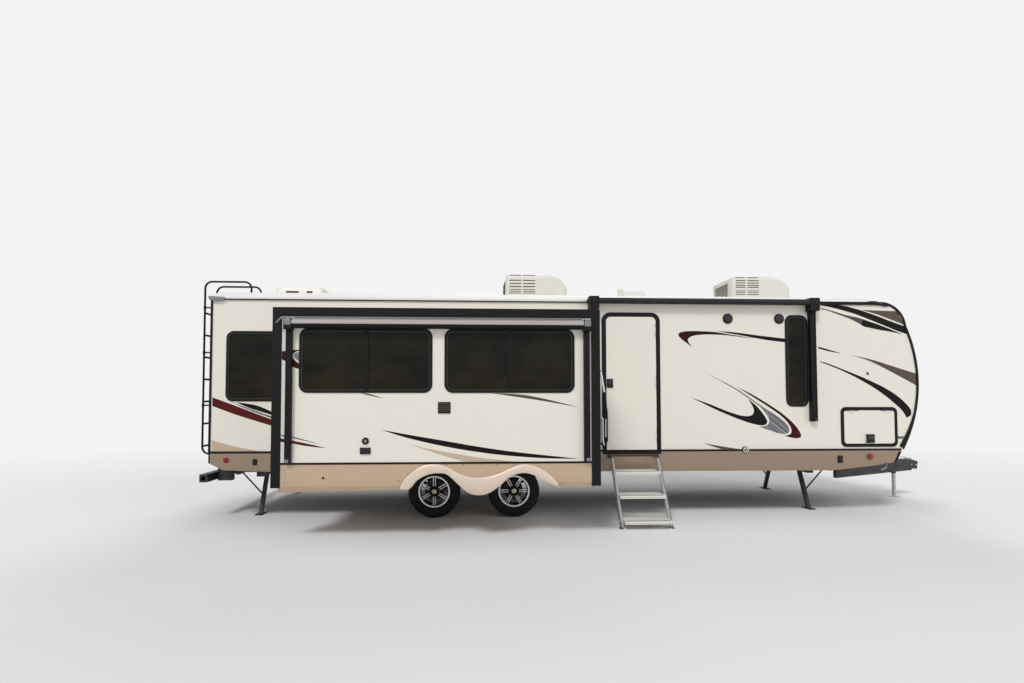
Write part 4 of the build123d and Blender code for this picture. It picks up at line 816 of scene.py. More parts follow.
# Two films on the hook, each on top of the last
HOOK_STRIPES = (
    ("slide_hook_arc", "pale", (
        ((1.48, 2.101), (1.461, 2.1), (1.415, 2.082), (1.388, 2.046), (1.402, 2.009), (1.433, 1.978),
         (1.48, 1.948)),
        ((1.48, 1.948), (1.48, 2.101)))),
)
HOOK_CORE = (
    ("slide_hook_core", "silver", (
        ((1.48, 2.088), (1.459, 2.085), (1.426, 2.077), (1.41, 2.046), (1.424, 2.015), (1.48, 1.972)),
        ((1.48, 1.972), (1.48, 2.088)))),
)


def film_outline(strokes):
    """One closed outline from the strokes, without repeated points."""
    outline = []
    for stroke in strokes:
        for point in curve_through([(p[0], p[1], 0) for p in stroke]):
            if not outline or (point - outline[-1]).length > SAME_POINT:
                outline.append(point)
    if (outline[0] - outline[-1]).length < SAME_POINT:
        outline.pop()
    return outline


FILM_LIFT = 0.0004
HOOK_LIFT = 0.0002


def lay_stripes(prefix, stripes, y, out, body, lift=FILM_LIFT):
    """Films of the given stripes on a wall at y that faces out."""
    thickness = sizes().film
    for name, key, strokes in stripes:
        piece = Piece(prefix + name)
        outline = [(at(p.x), y + out * lift, p.y) for p in film_outline(strokes)]
        piece.prism(outline, (0, out * thickness, 0), key)
        piece.done(body, smooth=False)


# Shapes shared by several pieces

SIDES = (("camp", camp_y, -1), ("road", road_y, 1))
SUNK = 0.001                 # how far a fitting reaches into the wall
SAME_POINT = 1e-4
HEX = 6


def about(middle, half):
    """The two ends of a span round its middle."""
    return middle - half, middle + half


def wall_box(piece, stations, heights, y, out, proud, key, edge=0.0, sunk=SUNK):
    """A box on a wall at y, from just inside it to the proud face."""
    low = (at(stations[0]), y - out * sunk, heights[0])
    piece.box(low, (at(stations[1]), y + out * proud, heights[1]), key, edge)


def wall_boxes(piece, y, out, rows):
    """Boxes on a wall at y. Each row has stations, heights, and the rest of wall_box's values."""
    for stations, heights, *rest in rows:
        wall_box(piece, stations, heights, y, out, *rest)


def wall_disc(piece, station, z, y, out, radius, height, key, edge=0.0, steps=32):
    """A round on a wall at y."""
    piece.disc((at(station), y - out * SUNK, z), (0, out, 0), radius, height + SUNK, key, edge, steps)


def wall_rod(piece, points, y, out, radius, key, sides=12):
    """A rod through (station, proud, height) points on a wall at y."""
    piece.tube([(at(station), y + out * proud, z) for station, proud, z in points], radius, key, sides)


def wall_plate(piece, outline, y, out, proud, key, edge=0.0):
    """An outline of (station, height) points, standing proud of a wall at y."""
    piece.prism([(at(s), y - out * SUNK, z) for s, z in outline], (0, out * (proud + SUNK), 0), key, edge)


class TRAILER_OT_shell(bpy.types.Operator):
    """Finish the walls, nose, roof, skirts and trim"""
    bl_idname = "trailer.shell"
    bl_label = "Shell"

    def execute(self, context):
        for name in ("camp_wall", "road_wall", "rear_wall", "front_cap", "slide_face", "slide_sides"):
            dress_node(name, "gelcoat")
        # The body skirts get the champagne paint darkened as painted shade and painted reflection.
        dress_node("skirts", "taupe")
        dress_node("slide_skirt", "skirt")
        for name in ("roof", "slide_roof"):
            dress_node(name, "membrane")
        for name in ("body_trim", "slide_trim"):
            dress_node(name, "trim", sizes().edge)
        for name in ("floor_deck", "slide_floor", "bay_liner"):
            dress_node(name, "plywood")
        return {"FINISHED"}


GUTTER = (0.16, 8.76)
# Strips of the gutter: heights, proud, finish, edge
GUTTER_PALE = ((2.863, 2.893), 0.0145, "membrane", 0.003)
GUTTER_DARK = ((2.884, 2.892), 0.018, "trim", 0.002)
GUTTER_LIP = ((2.849, 2.857), 0.019, "trim", 0.002)
PALE_ENDS = {"camp": 4.90, "road": 8.70}
GUTTER_CURL = ((8.74, 2.890), (8.83, 2.904), (8.90, 2.903), (8.96, 2.880), (9.02, 2.852), (9.066, 2.838),
               (9.068, 2.826), (9.01, 2.836), (8.95, 2.846), (8.88, 2.850), (8.74, 2.850))
SPOUT = ((-0.034, 2.893), (0.06, 2.893), (0.172, 2.880), (0.172, 2.842), (0.07, 2.824), (-0.02, 2.842))

# The nose's profile is two arcs, each through three (station, height) points
NOSE_ARCS = (
    ((8.930, 2.885), (9.2025, 2.797), (9.320, 2.565)),
    ((9.320, 2.565), (9.475, 1.725), (9.180, 0.780)),
)
EDGING_LOW = 0.892
EDGING_STEPS = 14
EDGING_WIDTH = 0.022
EDGING_FLARE = 0.038         # how much wider it is at EDGING_FLARE_TALL below EDGING_FLARE_TOP
EDGING_FLARE_TOP = 1.35
EDGING_FLARE_TALL = 0.45
EDGING_PROUD = 0.0118
SKIRT_PROUD = 0.012
SKIRT_EDGING_PROUD = SKIRT_PROUD + 0.0016
SKIRT_END = ((9.170, 0.850), (9.2095, 0.850), (9.139, 0.709), (9.100, 0.703))
SKIRT_CORNER = ((0.0, 0.019), (0.742, 0.864))


def circle_through(first, middle, last):
    """Centre and radius of the circle through three points."""
    (ax, ay), (bx, by), (cx, cy) = first, middle, last
    double = 2 * (ax * (by - cy) + bx * (cy - ay) + cx * (ay - by))
    a, b, c = (x * x + y * y for x, y in (first, middle, last))
    centre = Vector(((a * (by - cy) + b * (cy - ay) + c * (ay - by)) / double,
                     (a * (cx - bx) + b * (ax - cx) + c * (bx - ax)) / double))
    return centre, (Vector(first) - centre).length


def nose_edging():
    """Outline of a strip along the nose that widens towards its foot."""
    outer, inner = [], []
    for first, middle, last in NOSE_ARCS:
        centre, radius = circle_through(first, middle, last)
        low = max(last[1], EDGING_LOW)
        for step in range(EDGING_STEPS + 1):
            z = first[1] + (low - first[1]) * step / EDGING_STEPS
            point = Vector((centre.x + sqrt(max(radius ** 2 - (z - centre.y) ** 2, 0.0)), z))
            if outer and (point - outer[-1]).length < SAME_POINT:
                continue
            width = EDGING_WIDTH + EDGING_FLARE * max(0.0, EDGING_FLARE_TOP - z) / EDGING_FLARE_TALL
            outer.append(point)
            inner.append(centre + (point - centre) * (radius - width) / radius)
    return [tuple(p) for p in outer] + [tuple(p) for p in reversed(inner)]


class TRAILER_OT_roof_edge(bpy.types.Operator):
    """Add the gutters with their curled front ends, the nose's edging and the rear spouts"""
    bl_idname = "trailer.roof_edge"
    bl_label = "Roof edge"

    def execute(self, context):
        for side, y, out in SIDES:
            pale_end = PALE_ENDS[side]
            gutter = Piece(side + "_gutter")
            strips = (((GUTTER[0], pale_end), *GUTTER_PALE), ((pale_end, GUTTER[1]), *GUTTER_DARK),
                      (GUTTER, *GUTTER_LIP))
            wall_boxes(gutter, y, out, strips)
            wall_plate(gutter, GUTTER_CURL, y, out, 0.021, "trim", 0.003)
            gutter.done("trailer", slot="frame_black")
            edging = Piece(side + "_edging")
            wall_plate(edging, nose_edging(), y, out, EDGING_PROUD, "trim")
            wall_plate(edging, SKIRT_END, y, out, SKIRT_EDGING_PROUD, "trim")
            wall_box(edging, *SKIRT_CORNER, y, out, SKIRT_EDGING_PROUD, "trim")
            edging.done("trailer", slot="frame_black")
            spout = Piece(side + "_spout")
            wall_plate(spout, SPOUT, y, out, 0.034, "casting", 0.006)
            spout.done("trailer", slot="frame_black")
        return {"FINISHED"}


class TRAILER_OT_stripes(bpy.types.Operator):
    """Lay the striping films on both sides and on the slide-out room"""
    bl_idname = "trailer.stripes"
    bl_label = "Stripes"

    def execute(self, context):
        film = sizes().film
        for side, y, out in SIDES:
            lay_stripes(side + "_", FRONT_STRIPES + REAR_STRIPES, y, out, "trailer")
        lay_stripes("road_", ROAD_REAR_STRIPES, road_y, 1, "trailer")
        lay_stripes("", SLIDE_STRIPES, slide_y, -1, "slide_room")
        lay_stripes("", HOOK_STRIPES, slide_y, -1, "slide_room", HOOK_LIFT + film)
        lay_stripes("", HOOK_CORE, slide_y, -1, "slide_room", 2 * film)
        return {"FINISHED"}


# Fender ribbon: the lower edge's distance from the middle and height, then the upper edge's
RIBBON = (
    (-0.769, 0.571, -0.866, 0.579), (-0.735, 0.604, -0.842, 0.630), (-0.672, 0.678, -0.782, 0.715),
    (-0.560, 0.736, -0.636, 0.818), (-0.445, 0.752, -0.500, 0.844), (-0.345, 0.735, -0.367, 0.822),
    (-0.219, 0.623, -0.231, 0.748), (-0.110, 0.534, -0.110, 0.703), (0.000, 0.508, 0.000, 0.691),
    (0.110, 0.528, 0.110, 0.702), (0.230, 0.604, 0.237, 0.739), (0.350, 0.705, 0.373, 0.799),
    (0.485, 0.748, 0.520, 0.840), (0.610, 0.727, 0.672, 0.797), (0.746, 0.649, 0.809, 0.704),
    (0.921, 0.580, 0.921, 0.580),
)
RIBBON_PROUD = 0.030
RIBBON_THIN = 0.02           # narrower than this it has run out into its point
RIBBON_FULL = 0.08           # from this width on it has its whole crown
RIBBON_SOFT = 0.012
SLIDE_RIBBON = 3.438
ROAD_RIBBON = 3.401

# Rivets and the slide-out skirt's raised crease, by station and height
RIVETS = ((3.085, 0.838), (3.270, 0.838), (3.455, 0.838), (3.652, 0.838), (3.834, 0.838), (2.560, 0.667),
          (2.660, 0.740))
SKIRT_HOLE = (1.738, 0.702)
SKIRT_CREASE = ((1.325, 0, 0.642), (1.325, 0, 0.810), (1.372, 0, 0.834), (1.440, 0, 0.840), (1.700, 0, 0.842))


def ribbon_profile(width):
    """(along, proud) points across the ribbon: crowned, rounded at its edges and lapped over its solid."""
    lap = sizes().lap
    rise = sizes().crown * min(1.0, width / RIBBON_FULL)
    soft = min(RIBBON_SOFT, width / 4)
    top = RIBBON_PROUD
    return ((-lap, 0.0004), (-lap, 0.70 * top), (-lap * 0.6, 0.92 * top), (0.0, top + 0.001),
            (soft, top + rise * 0.45), (width * 0.32, top + rise * 0.85), (width * 0.5, top + rise),
            (width * 0.68, top + rise * 0.85), (width - soft, top + rise * 0.45), (width, top + 0.001),
            (width + lap * 0.6, 0.92 * top), (width + lap, 0.70 * top), (width + lap, 0.0004))


def fender_ribbon(name, middle, y, out, body):
    """The wave over both wheels."""
    lower = curve_through([(a, b, 0) for a, b, c, d in RIBBON], 6)
    upper = curve_through([(c, d, 0) for a, b, c, d in RIBBON], 6)
    piece = Piece(name)
    rings = []
    for low, high in zip(lower, upper):
        across = high - low
        width = across.length
        if width < RIBBON_THIN:
            continue
        across.normalize()
        ring = []
        for along, proud in ribbon_profile(width):
            place = low + across * along
            ring.append(piece.mesh.verts.new((at(middle) + place.x, y + out * proud, place.y)))
        rings.append(ring)
    # The ribbon's finish is the skirt's paint lightened: a painted highlight on its rounded top.
    piece.skin(rings, "ribbon")
    piece.done(body, slot="skirt", angle=60)


class TRAILER_OT_fenders(bpy.types.Operator):
    """Model the wave-shaped ribbon over the wheels, and the rivets and crease beside it"""
    bl_idname = "trailer.fenders"
    bl_label = "Fenders"

    def execute(self, context):
        slide_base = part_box("slide_skirt")[0].y + RIBBON_PROUD
        road_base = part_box("skirts")[1].y - RIBBON_PROUD
        fender_ribbon("slide_ribbon", SLIDE_RIBBON, slide_base, -1, "slide_room")
        fender_ribbon("road_ribbon", ROAD_RIBBON, road_base, 1, "trailer")
        rivets = Piece("slide_rivets")
        for station, z in RIVETS:
            wall_disc(rivets, station, z, slide_base, -1, sizes().rivet, 0.002, "plastic")
        # A dark disc as painted shade for the hole in the skirt.
        wall_disc(rivets, *SKIRT_HOLE, slide_base, -1, 0.014, 0.002, "cavity")
        wall_rod(rivets, SKIRT_CREASE, slide_base, -1, 0.0045, "skirt", 8)
        rivets.done("slide_room")
        return {"FINISHED"}


WHEEL_HEIGHT = 0.3445
WHEEL_REACH = 1.078          # from the body's middle to the middle of a wheel
WHEEL_STATIONS = {"rear": 2.875, "front": 3.927}
CLAMP_IN = 0.031             # from a spring's outer face to the middle of its clamp
CLAMP_TOP = WHEEL_HEIGHT + 0.055
CLAMP_HALF = (0.052, 0.032)
BOLT_ALONG = 0.036
BOLT_ACROSS = 0.026


class TRAILER_OT_chassis(bpy.types.Operator):
    """Finish the chassis and add the spring clamps"""
    bl_idname = "trailer.chassis"
    bl_label = "Chassis"

    def execute(self, context):
        painted = ("chassis_rails", "crossmembers", "a_frame", "coupler", "tongue_tray", "jack_tube",
                   "rear_bumper", "stabilizer_beams", "stabilizer_legs", "axles", "leaf_springs")
        for name in painted:
            dress_node(name, "chassis")
        dress_node("underbelly", "corrugated")
        dress_node("propane_cover", "plastic")
        for name in ("jack_leg", "slide_arms"):
            dress_node(name, "zinc")
        low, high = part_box("leaf_springs")
        length, depth = CLAMP_HALF
        top = CLAMP_TOP
        for number, station in enumerate(WHEEL_STATIONS.values()):
            x = at(station)
            clamps = Piece("spring_clamps_%d" % number)
            for y in (low.y + CLAMP_IN, high.y - CLAMP_IN):
                clamps.box((x - length, y - depth, top - 0.001), (x + length, y + depth, top + 0.009),
                           "zinc", 0.002)
                for bolt_x in about(x, BOLT_ALONG):
                    for bolt_y in about(y, BOLT_ACROSS):
                        clamps.tube([(bolt_x, bolt_y, WHEEL_HEIGHT - 0.040), (bolt_x, bolt_y, top + 0.022)],
                                    0.005, "zinc", 8)
                        clamps.disc((bolt_x, bolt_y, top + 0.008), (0, 0, 1), 0.009, 0.009, "zinc", steps=HEX)
            clamps.done("trailer", slot="zinc")
        return {"FINISHED"}


# Tyre: (along, radius) points of the ribbed sidewall, from the bead to the shoulder
SIDEWALL = ((0.078, 0.1990), (0.086, 0.2080), (0.091, 0.2140), (0.0935, 0.2200), (0.0925, 0.2240),
            (0.0965, 0.2340), (0.0985, 0.2450), (0.1000, 0.2470), (0.0990, 0.2500), (0.1000, 0.2620),
            (0.1010, 0.2740), (0.1000, 0.2860), (0.0980, 0.2960), (0.0992, 0.2990), (0.0965, 0.3030),
            (0.0935, 0.3120), (0.0890, 0.3205), (0.0840, 0.3275), (0.0780, 0.3340), (0.0700, 0.3385))
GROOVES = (0.049, 0.0165, -0.0165, -0.049)
GROOVE_TOP = 0.0048
GROOVE_FOOT = 0.0034
TREAD_CROWN = 0.66           # how fast the tread falls off to its sides
SHOULDER = 0.325
BLOCK_CUT = 0.004
BLOCK_STEPS = 3
TYRE_STEPS = 120

# Wheel: (along, radius) points of the bright lip and of the hub cap, then the spokes and nuts
LIP = ((0.0855, 0.1870), (0.0868, 0.1862), (0.0888, 0.1885), (0.0892, 0.1960), (0.0892, 0.2030),
       (0.0885, 0.2062), (0.0855, 0.2076))
HUB_CAP = ((0.0760, 0.0005), (0.0762, 0.0322), (0.0785, 0.0324), (0.0800, 0.0300), (0.0830, 0.0230),
           (0.0846, 0.0120), (0.0850, 0.0005))
SPOKE_PAIRS = 6
SPOKE_TURNS = {"rear": 90, "front": 0}
SPOKE_APART = 0.0136
SPOKE_FOOT = (0.068, 0.0042)
SPOKE_TIP = (0.184, 0.0052)
SPOKE_FACE = 0.0615
NUT_CIRCLE = 0.057
VALVE_FOOT = (0.176, 0.050)
VALVE_TIP = (0.168, 0.072)


def tyre_profile():
    """Closed (along, radius) profile of a trailer tyre with sidewall ribs and four tread grooves."""
    tread = []
    depth = sizes().tread
    for middle in GROOVES:
        for step, sunk in ((GROOVE_TOP, 0), (GROOVE_FOOT, depth), (-GROOVE_FOOT, depth), (-GROOVE_TOP, 0)):
            across = middle + step
            tread.append((across, WHEEL_HEIGHT - TREAD_CROWN * across * across - sunk))
    return [*SIDEWALL, *tread, *((-along, radius) for along, radius in reversed(SIDEWALL))]


def tyre_block(step, radius):
    """Cut the shoulders and the tread's outer ribs across, at every few steps."""
    if radius < SHOULDER or step % BLOCK_STEPS:
        return radius
    return radius - BLOCK_CUT


class TRAILER_OT_wheels(bpy.types.Operator):
    """Model the tyres and dress the twin-spoke wheels"""
    bl_idname = "trailer.wheels"
    bl_label = "Wheels"

    def execute(self, context):
        for wheel in WHEELS:
            side, row = wheel.split("_")
            out = -1 if side == "camp" else 1
            start = SPOKE_TURNS[row]
            axle = (0, out, 0)
            centre = Vector((at(WHEEL_STATIONS[row]), mid_y + out * WHEEL_REACH, WHEEL_HEIGHT))
            body = "wheel_" + wheel
            dress_node("rim_" + wheel, "wheel")

            tyre = Piece("tread_" + wheel)
            tyre.lathe(tyre_profile(), centre, axle, "rubber", TYRE_STEPS, tyre_block)
            tyre.done(body, slot="tyre", replaces=("tyre_" + wheel,), angle=32)

            bright = Piece("wheel_face_" + wheel)
            bright.lathe(LIP, centre, axle, "machined", 64)
            for pair in range(SPOKE_PAIRS):
                angle = radians(start + 60 * pair)
                along = Vector((cos(angle), 0, sin(angle)))
                across = Vector((-sin(angle), 0, cos(angle)))
                for hand in (-1, 1):
                    middle = centre + Vector((0, out * SPOKE_FACE, 0)) + across * hand * SPOKE_APART
                    foot, tip = middle + along * SPOKE_FOOT[0], middle + along * SPOKE_TIP[0]
                    outline = [foot - across * SPOKE_FOOT[1], tip - across * SPOKE_TIP[1],
                               tip + across * SPOKE_TIP[1], foot + across * SPOKE_FOOT[1]]
                    bright.prism(outline, (0, out * 0.0022, 0), "machined", 0.0008, 1)
            bright.done(body, slot="wheel")

            hub = Piece("hub_cap_" + wheel)
            hub.lathe(HUB_CAP, centre, axle, "brass", 40)
            for number in range(SPOKE_PAIRS):
                angle = radians(start + 30 + 60 * number)
                place = centre + Vector((cos(angle) * NUT_CIRCLE, out * SPOKE_FACE, sin(angle) * NUT_CIRCLE))
                hub.disc(place, axle, 0.0095, 0.012, "plastic", steps=HEX)
            turn = radians(start + 30)
            valve = [centre + Vector((cos(turn) * reach, out * proud, sin(turn) * reach))
                     for reach, proud in (VALVE_FOOT, VALVE_TIP)]
            hub.tube(valve, 0.004, "plastic", 8)
            hub.done(body, slot="wheel")
        return {"FINISHED"}


# Windows: station, height, width, tall, whether a bar stands in the middle
CAMP_WINDOWS = ((0.577, 1.988, 0.762, 0.912, False), (7.773, 2.081, 0.314, 1.246, False))
ROAD_WINDOWS = ((1.500, 2.050, 0.914, 0.560, False), (4.300, 2.050, 1.219, 0.560, True),
                (7.700, 2.081, 0.302, 1.231, False))
SLIDE_WINDOWS = ((2.19275, 1.993, 1.4635, 0.717, True), (3.78925, 1.993, 1.4635, 0.717, True))
WINDOW_RADIUS = 0.095
GASKET = ((0.0310, -0.0045), (0.0310, 0.0088), (0.0325, 0.0105), (0.0375, 0.0105), (0.0395, 0.0085),
          (0.0400, -0.0045))
BAR_SHORT = 0.030
DRAIN_SLOT = (0.010, 0.015)
DRAIN_SHARE = 0.33           # of the window's width, from its middle to a drain slot


def gasket_ring(piece, x, z, width, tall, y, out):
    """The gasket's (inward, proud) section carried round a window."""
    rings = []
    for inward, proud in GASKET:
        radius = max(WINDOW_RADIUS - inward, 0.004)
        loop = rounded_rectangle(x, z, width - 2 * inward, tall - 2 * inward, radius)
        rings.append([piece.mesh.verts.new((px, y + out * proud, pz)) for px, pz in loop])
    piece.skin(rings, "gasket", closed=True)


def dress_windows(name, windows, y, out, body):
    """A gasket round each pane, a wider bar where there is one, and small drain slots."""
    piece = Piece(name)
    for station, z, width, tall, barred in windows:
        gasket_ring(piece, at(station), z, width, tall, y, out)
        if barred:
            heights = about(z, tall / 2 - BAR_SHORT)
            wall_box(piece, about(station, 0.023), heights, y, out, 0.0108, "trim", 0.002, 0.0045)
            wall_box(piece, about(station, 0.0035), heights, y, out, 0.0125, "trim", 0.001)
        foot = z - tall / 2
        # Dark boxes as painted shade for the drain slots.
        for place in about(station, DRAIN_SHARE * width):
            wall_box(piece, about(place, 0.016), (foot + DRAIN_SLOT[0], foot + DRAIN_SLOT[1]), y, out,
                     0.0098, "cavity")
    piece.done(body, slot="frame_black")


class TRAILER_OT_windows(bpy.types.Operator):
    """Finish the windows and add their gaskets and bars"""
    bl_idname = "trailer.windows"
    bl_label = "Windows"

    def execute(self, context):
        for name in ("window_frames", "slide_window_frames"):
            dress_node(name, "trim", sizes().edge)
        for name in ("window_panes", "slide_window_panes"):
            dress_node(name, "glass")
        dress_windows("camp_gaskets", CAMP_WINDOWS, camp_y, -1, "trailer")
        dress_windows("road_gaskets", ROAD_WINDOWS, road_y, 1, "trailer")
        dress_windows("slide_gaskets", SLIDE_WINDOWS, slide_y, -1, "slide_room")
        return {"FINISHED"}


# Boxes on a wall: stations, heights, proud, finish, edge, and how far they reach in (less than 0
# where they start outside the wall)
ENTRY_LATCH = (
    ((5.1602, 5.2438), (1.7115, 1.8315), 0.0252, "plastic", 0.004, -0.011),
    ((5.176, 5.228), (1.7397, 1.8033), 0.0340, "gasket", 0.004, -0.023),
    ((5.181, 5.223), (1.747, 1.768), 0.0380, "plastic", 0.003, -0.030),
)
ENTRY_LOCK = (5.202, 1.8165)
ENTRY_HINGE = 5.834
ENTRY_HINGES = (1.0765, 1.7765, 2.4765)
HINGE_RADIUS = 0.0078
HINGE_HALF = 0.0308

# Folding handle: rods of (station, proud, height) points with radius and finish
HANDLE_OUT = 0.060
HANDLE_RODS = (
    (((5.070, 0.060, 1.924), (5.094, 0.060, 1.780), (5.115, 0.060, 1.650)), 0.0125, "machined"),
    (((5.115, 0.060, 1.655), (5.139, 0.060, 1.430)), 0.0135, "plastic"),
    (((5.139, 0.060, 1.440), (5.148, 0.060, 1.400), (5.148, 0.060, 1.010), (5.118, 0.060, 0.958)),
     0.011, "plastic"),
    (((5.130, 0.065, 1.300), (5.130, 0.065, 1.060)), 0.0065, "machined"),
    (((5.075, 0.060, 1.330), (5.094, 0.060, 1.300), (5.095, 0.060, 1.010), (5.112, 0.060, 0.956)),
     0.008, "machined"),
    (((5.136, 0.058, 1.420), (5.112, 0.058, 1.320), (5.112, 0.058, 1.000)), 0.010, "plastic"),
)
HANDLE_FEET = ((5.070, 1.920), (5.104, 0.968))


class TRAILER_OT_entry_door(bpy.types.Operator):
    """Finish the entry door, cover its latch and hinges, and fit the folding grab handle"""
    bl_idname = "trailer.entry_door"
    bl_label = "Entry door"

    def execute(self, context):
        dress_node("door_frame", "trim", sizes().edge)
        dress_node("entry_door", "gelcoat", sizes().edge)
        y = camp_y
        latch = Piece("entry_latch")
        wall_boxes(latch, y, -1, ENTRY_LATCH)
        wall_disc(latch, *ENTRY_LOCK, y - 0.0245, -1, 0.009, 0.005, "gasket")
        latch.done("entry_door", slot="door")
        hinges = Piece("entry_hinges")
        for z in ENTRY_HINGES:
            barrel = [(ENTRY_HINGE, 0.019, end) for end in about(z, HINGE_HALF)]
            wall_rod(hinges, barrel, y, -1, HINGE_RADIUS, "plastic", 16)
        hinges.done("entry_door", slot="door")

        handle = Piece("folding_handle")
        for points, radius, key in HANDLE_RODS:
            wall_rod(handle, points, y, -1, radius, key)
        for station, z in HANDLE_FEET:
            wall_rod(handle, ((station, -SUNK, z), (station, HANDLE_OUT, z)), y, -1, 0.011, "plastic")
            wall_disc(handle, station, z, y, -1, 0.024, 0.007, "plastic")
        handle.done("trailer", slot="frame_black", replaces=("grab_handle",))
        return {"FINISHED"}


BAY_LATCH = (
    ((8.7102, 8.8298), (0.9662, 1.0858), 0.0272, "plastic", 0.006, -0.0094),
    ((8.728, 8.812), (1.012, 1.070), 0.0315, "gasket", 0.005, -0.025),
)
BAY_CATCH = (
    ((9.176, 9.258), (1.026, 1.052), 0.010, "plastic", 0.003),
    ((9.182, 9.252), (1.033, 1.045), 0.016, "casting", 0.003),
)
BAY_LOCK = (8.770, 0.990)
BAY_HINGES = (8.520, 9.020)
BAY_HINGE_HEIGHT = 1.412


class TRAILER_OT_baggage_doors(bpy.types.Operator):
    """Finish the baggage doors and add their latches, hinges and catches"""
    bl_idname = "trailer.baggage_doors"
    bl_label = "Baggage doors"

    def execute(self, context):
        dress_node("bay_frames", "trim", sizes().edge)
        for side, y, out in SIDES:
            dress_node("bay_door_" + side, "gelcoat", sizes().edge)
            latch = Piece("bay_latch_" + side)
            wall_boxes(latch, y, out, BAY_LATCH)
            wall_disc(latch, *BAY_LOCK, y + out * 0.0265, out, 0.009, 0.004, "gasket")
            for station in BAY_HINGES:
                barrel = [(end, 0.017, BAY_HINGE_HEIGHT) for end in about(station, HINGE_HALF)]
                wall_rod(latch, barrel, y, out, HINGE_RADIUS, "plastic", 16)
            latch.done("bay_door_" + side, slot="door")
            catch = Piece("bay_catch_" + side)
            wall_boxes(catch, y, out, BAY_CATCH)
            catch.done("trailer", slot="frame_black")
        return {"FINISHED"}


COVER_STEPS = 12
COVER_THICK = 0.0015
SLIDE_ARMS = (1.362, 4.652)
SLIDE_ARM_FACE = 0.0515
SLIDE_ROLLER = (0.055, 2.392)         # out from the slide's face, height
SLIDE_COVER = (1.405, 4.609)
SLIDE_RAIL = ((1.40, 4.61), (2.466, 2.475))
SLIDE_HEAD_HALF = 0.0435
SLIDE_LIPS = (1.00, 2.32)
SLIDE_SCREWS = (1.25, 1.75, 2.25)
PRONG = ((1.372, 0.085, 2.430), (1.330, 0.085, 2.452), (1.292, 0.082, 2.456), (1.232, 0.070, 2.400))
SLIDE_FEET = (
    ((1.330, 1.378), (0.874, 0.912), 0.0600, "casting", 0.006, -0.0505),
    ((4.640, 4.684), (0.874, 0.912), 0.0600, "casting", 0.006, -0.0505),
)
MAIN_ARMS = (4.978, 7.975)
MAIN_ARM_FACE = 0.0615
MAIN_ROLLER = (0.078, 2.866)          # out from the camp wall, height
MAIN_COVER = (5.044, 7.909)
MAIN_RADIUS = 0.0402
MAIN_LIPS = (1.30, 2.74)
MAIN_SCREWS = (1.32, 1.58, 2.10, 2.62)
MAIN_FOOT = (1.262, 1.300)


def roller_cover(piece, roller, y, radius, start, stop, stations, key):
    """A shell round part of a roller. Angles turn from straight out (0) to straight up (90)."""
    away, z = roller
    outline = []
    inside = radius - COVER_THICK
    for reach, turns in ((radius, range(COVER_STEPS + 1)), (inside, range(COVER_STEPS, -1, -1))):
        for turn in turns:
            angle = radians(start + (stop - start) * turn / COVER_STEPS)
            outline.append((at(stations[0]), y - away - reach * cos(angle), z + reach * sin(angle)))
    piece.prism(outline, (stations[1] - stations[0], 0, 0), key)


class TRAILER_OT_awnings(bpy.types.Operator):
    """Finish both awnings, and add their castings, covers and fixings"""
    bl_idname = "trailer.awnings"
    bl_label = "Awnings"

    def execute(self, context):
        dress_node("main_awning", "trim", sizes().edge)
        dress_node("slide_awning", "trim", sizes().edge)
        y = slide_y
        cover = Piece("slide_roller_cover")
        roller_cover(cover, SLIDE_ROLLER, y, sizes().roller, -5, 118, SLIDE_COVER, "roller")
        wall_box(cover, *SLIDE_RAIL, y, -1, 0.016, "casting", 0.002)
        cover.done("slide_room", slot="frame_black")
        heads = Piece("slide_awning_heads")
        face = SLIDE_ARM_FACE
        for station in SLIDE_ARMS:
            block = about(station, SLIDE_HEAD_HALF)
            wall_box(heads, block, (2.366, 2.452), y, -1, 0.1065, "casting", 0.014, -0.050)
            wall_box(heads, block, (2.326, 2.368), y, -1, 0.1060, "trim", 0.006, -0.050)
            hand = 1 if station == SLIDE_ARMS[0] else -1
            heads.disc((at(station + hand * 0.040), y - 0.060, SLIDE_ROLLER[1]), (hand, 0, 0), 0.046, 0.012,
                       "plastic")
            for lip in about(station, 0.021):
                wall_box(heads, about(lip, 0.0035), SLIDE_LIPS, y, -1, face + 0.003, "trim", 0.001, -face)
            for z in SLIDE_SCREWS:
                heads.disc((at(station), y - face, z), (0, -1, 0), 0.008, 0.003, "trim")
        wall_rod(heads, PRONG, y, -1, 0.010, "casting")
        wall_boxes(heads, y, -1, SLIDE_FEET)
        heads.disc((at(1.312), y - 0.001, 1.159), (0, -1, 0), 0.014, 0.012, "casting")
        heads.done("slide_room", slot="frame_black")

        y = camp_y
        main = Piece("main_awning_fittings")
        roller_cover(main, MAIN_ROLLER, y, MAIN_RADIUS, -60, 118, MAIN_COVER, "canvas")
        face = MAIN_ARM_FACE
        for station in MAIN_ARMS:
            for lip in about(station, 0.026):
                wall_box(main, about(lip, 0.004), MAIN_LIPS, y, -1, face + 0.0035, "trim", 0.001, -face)
            for z in MAIN_SCREWS:
                main.disc((at(station), y - face, z), (0, -1, 0), 0.009, 0.004, "trim")
            main.disc((at(station), y - 0.1165, MAIN_ROLLER[1]), (0, -1, 0), 0.034, 0.003, "plastic")
            wall_box(main, about(station, 0.030), MAIN_FOOT, y, -1, 0.0700, "trim", 0.003, -face)
            main.disc((at(station + 0.010), y - 0.0695, 1.281), (0, -1, 0), 0.008, 0.004, "casting")
        main.done("trailer", slot="frame_black")
        return {"FINISHED"}


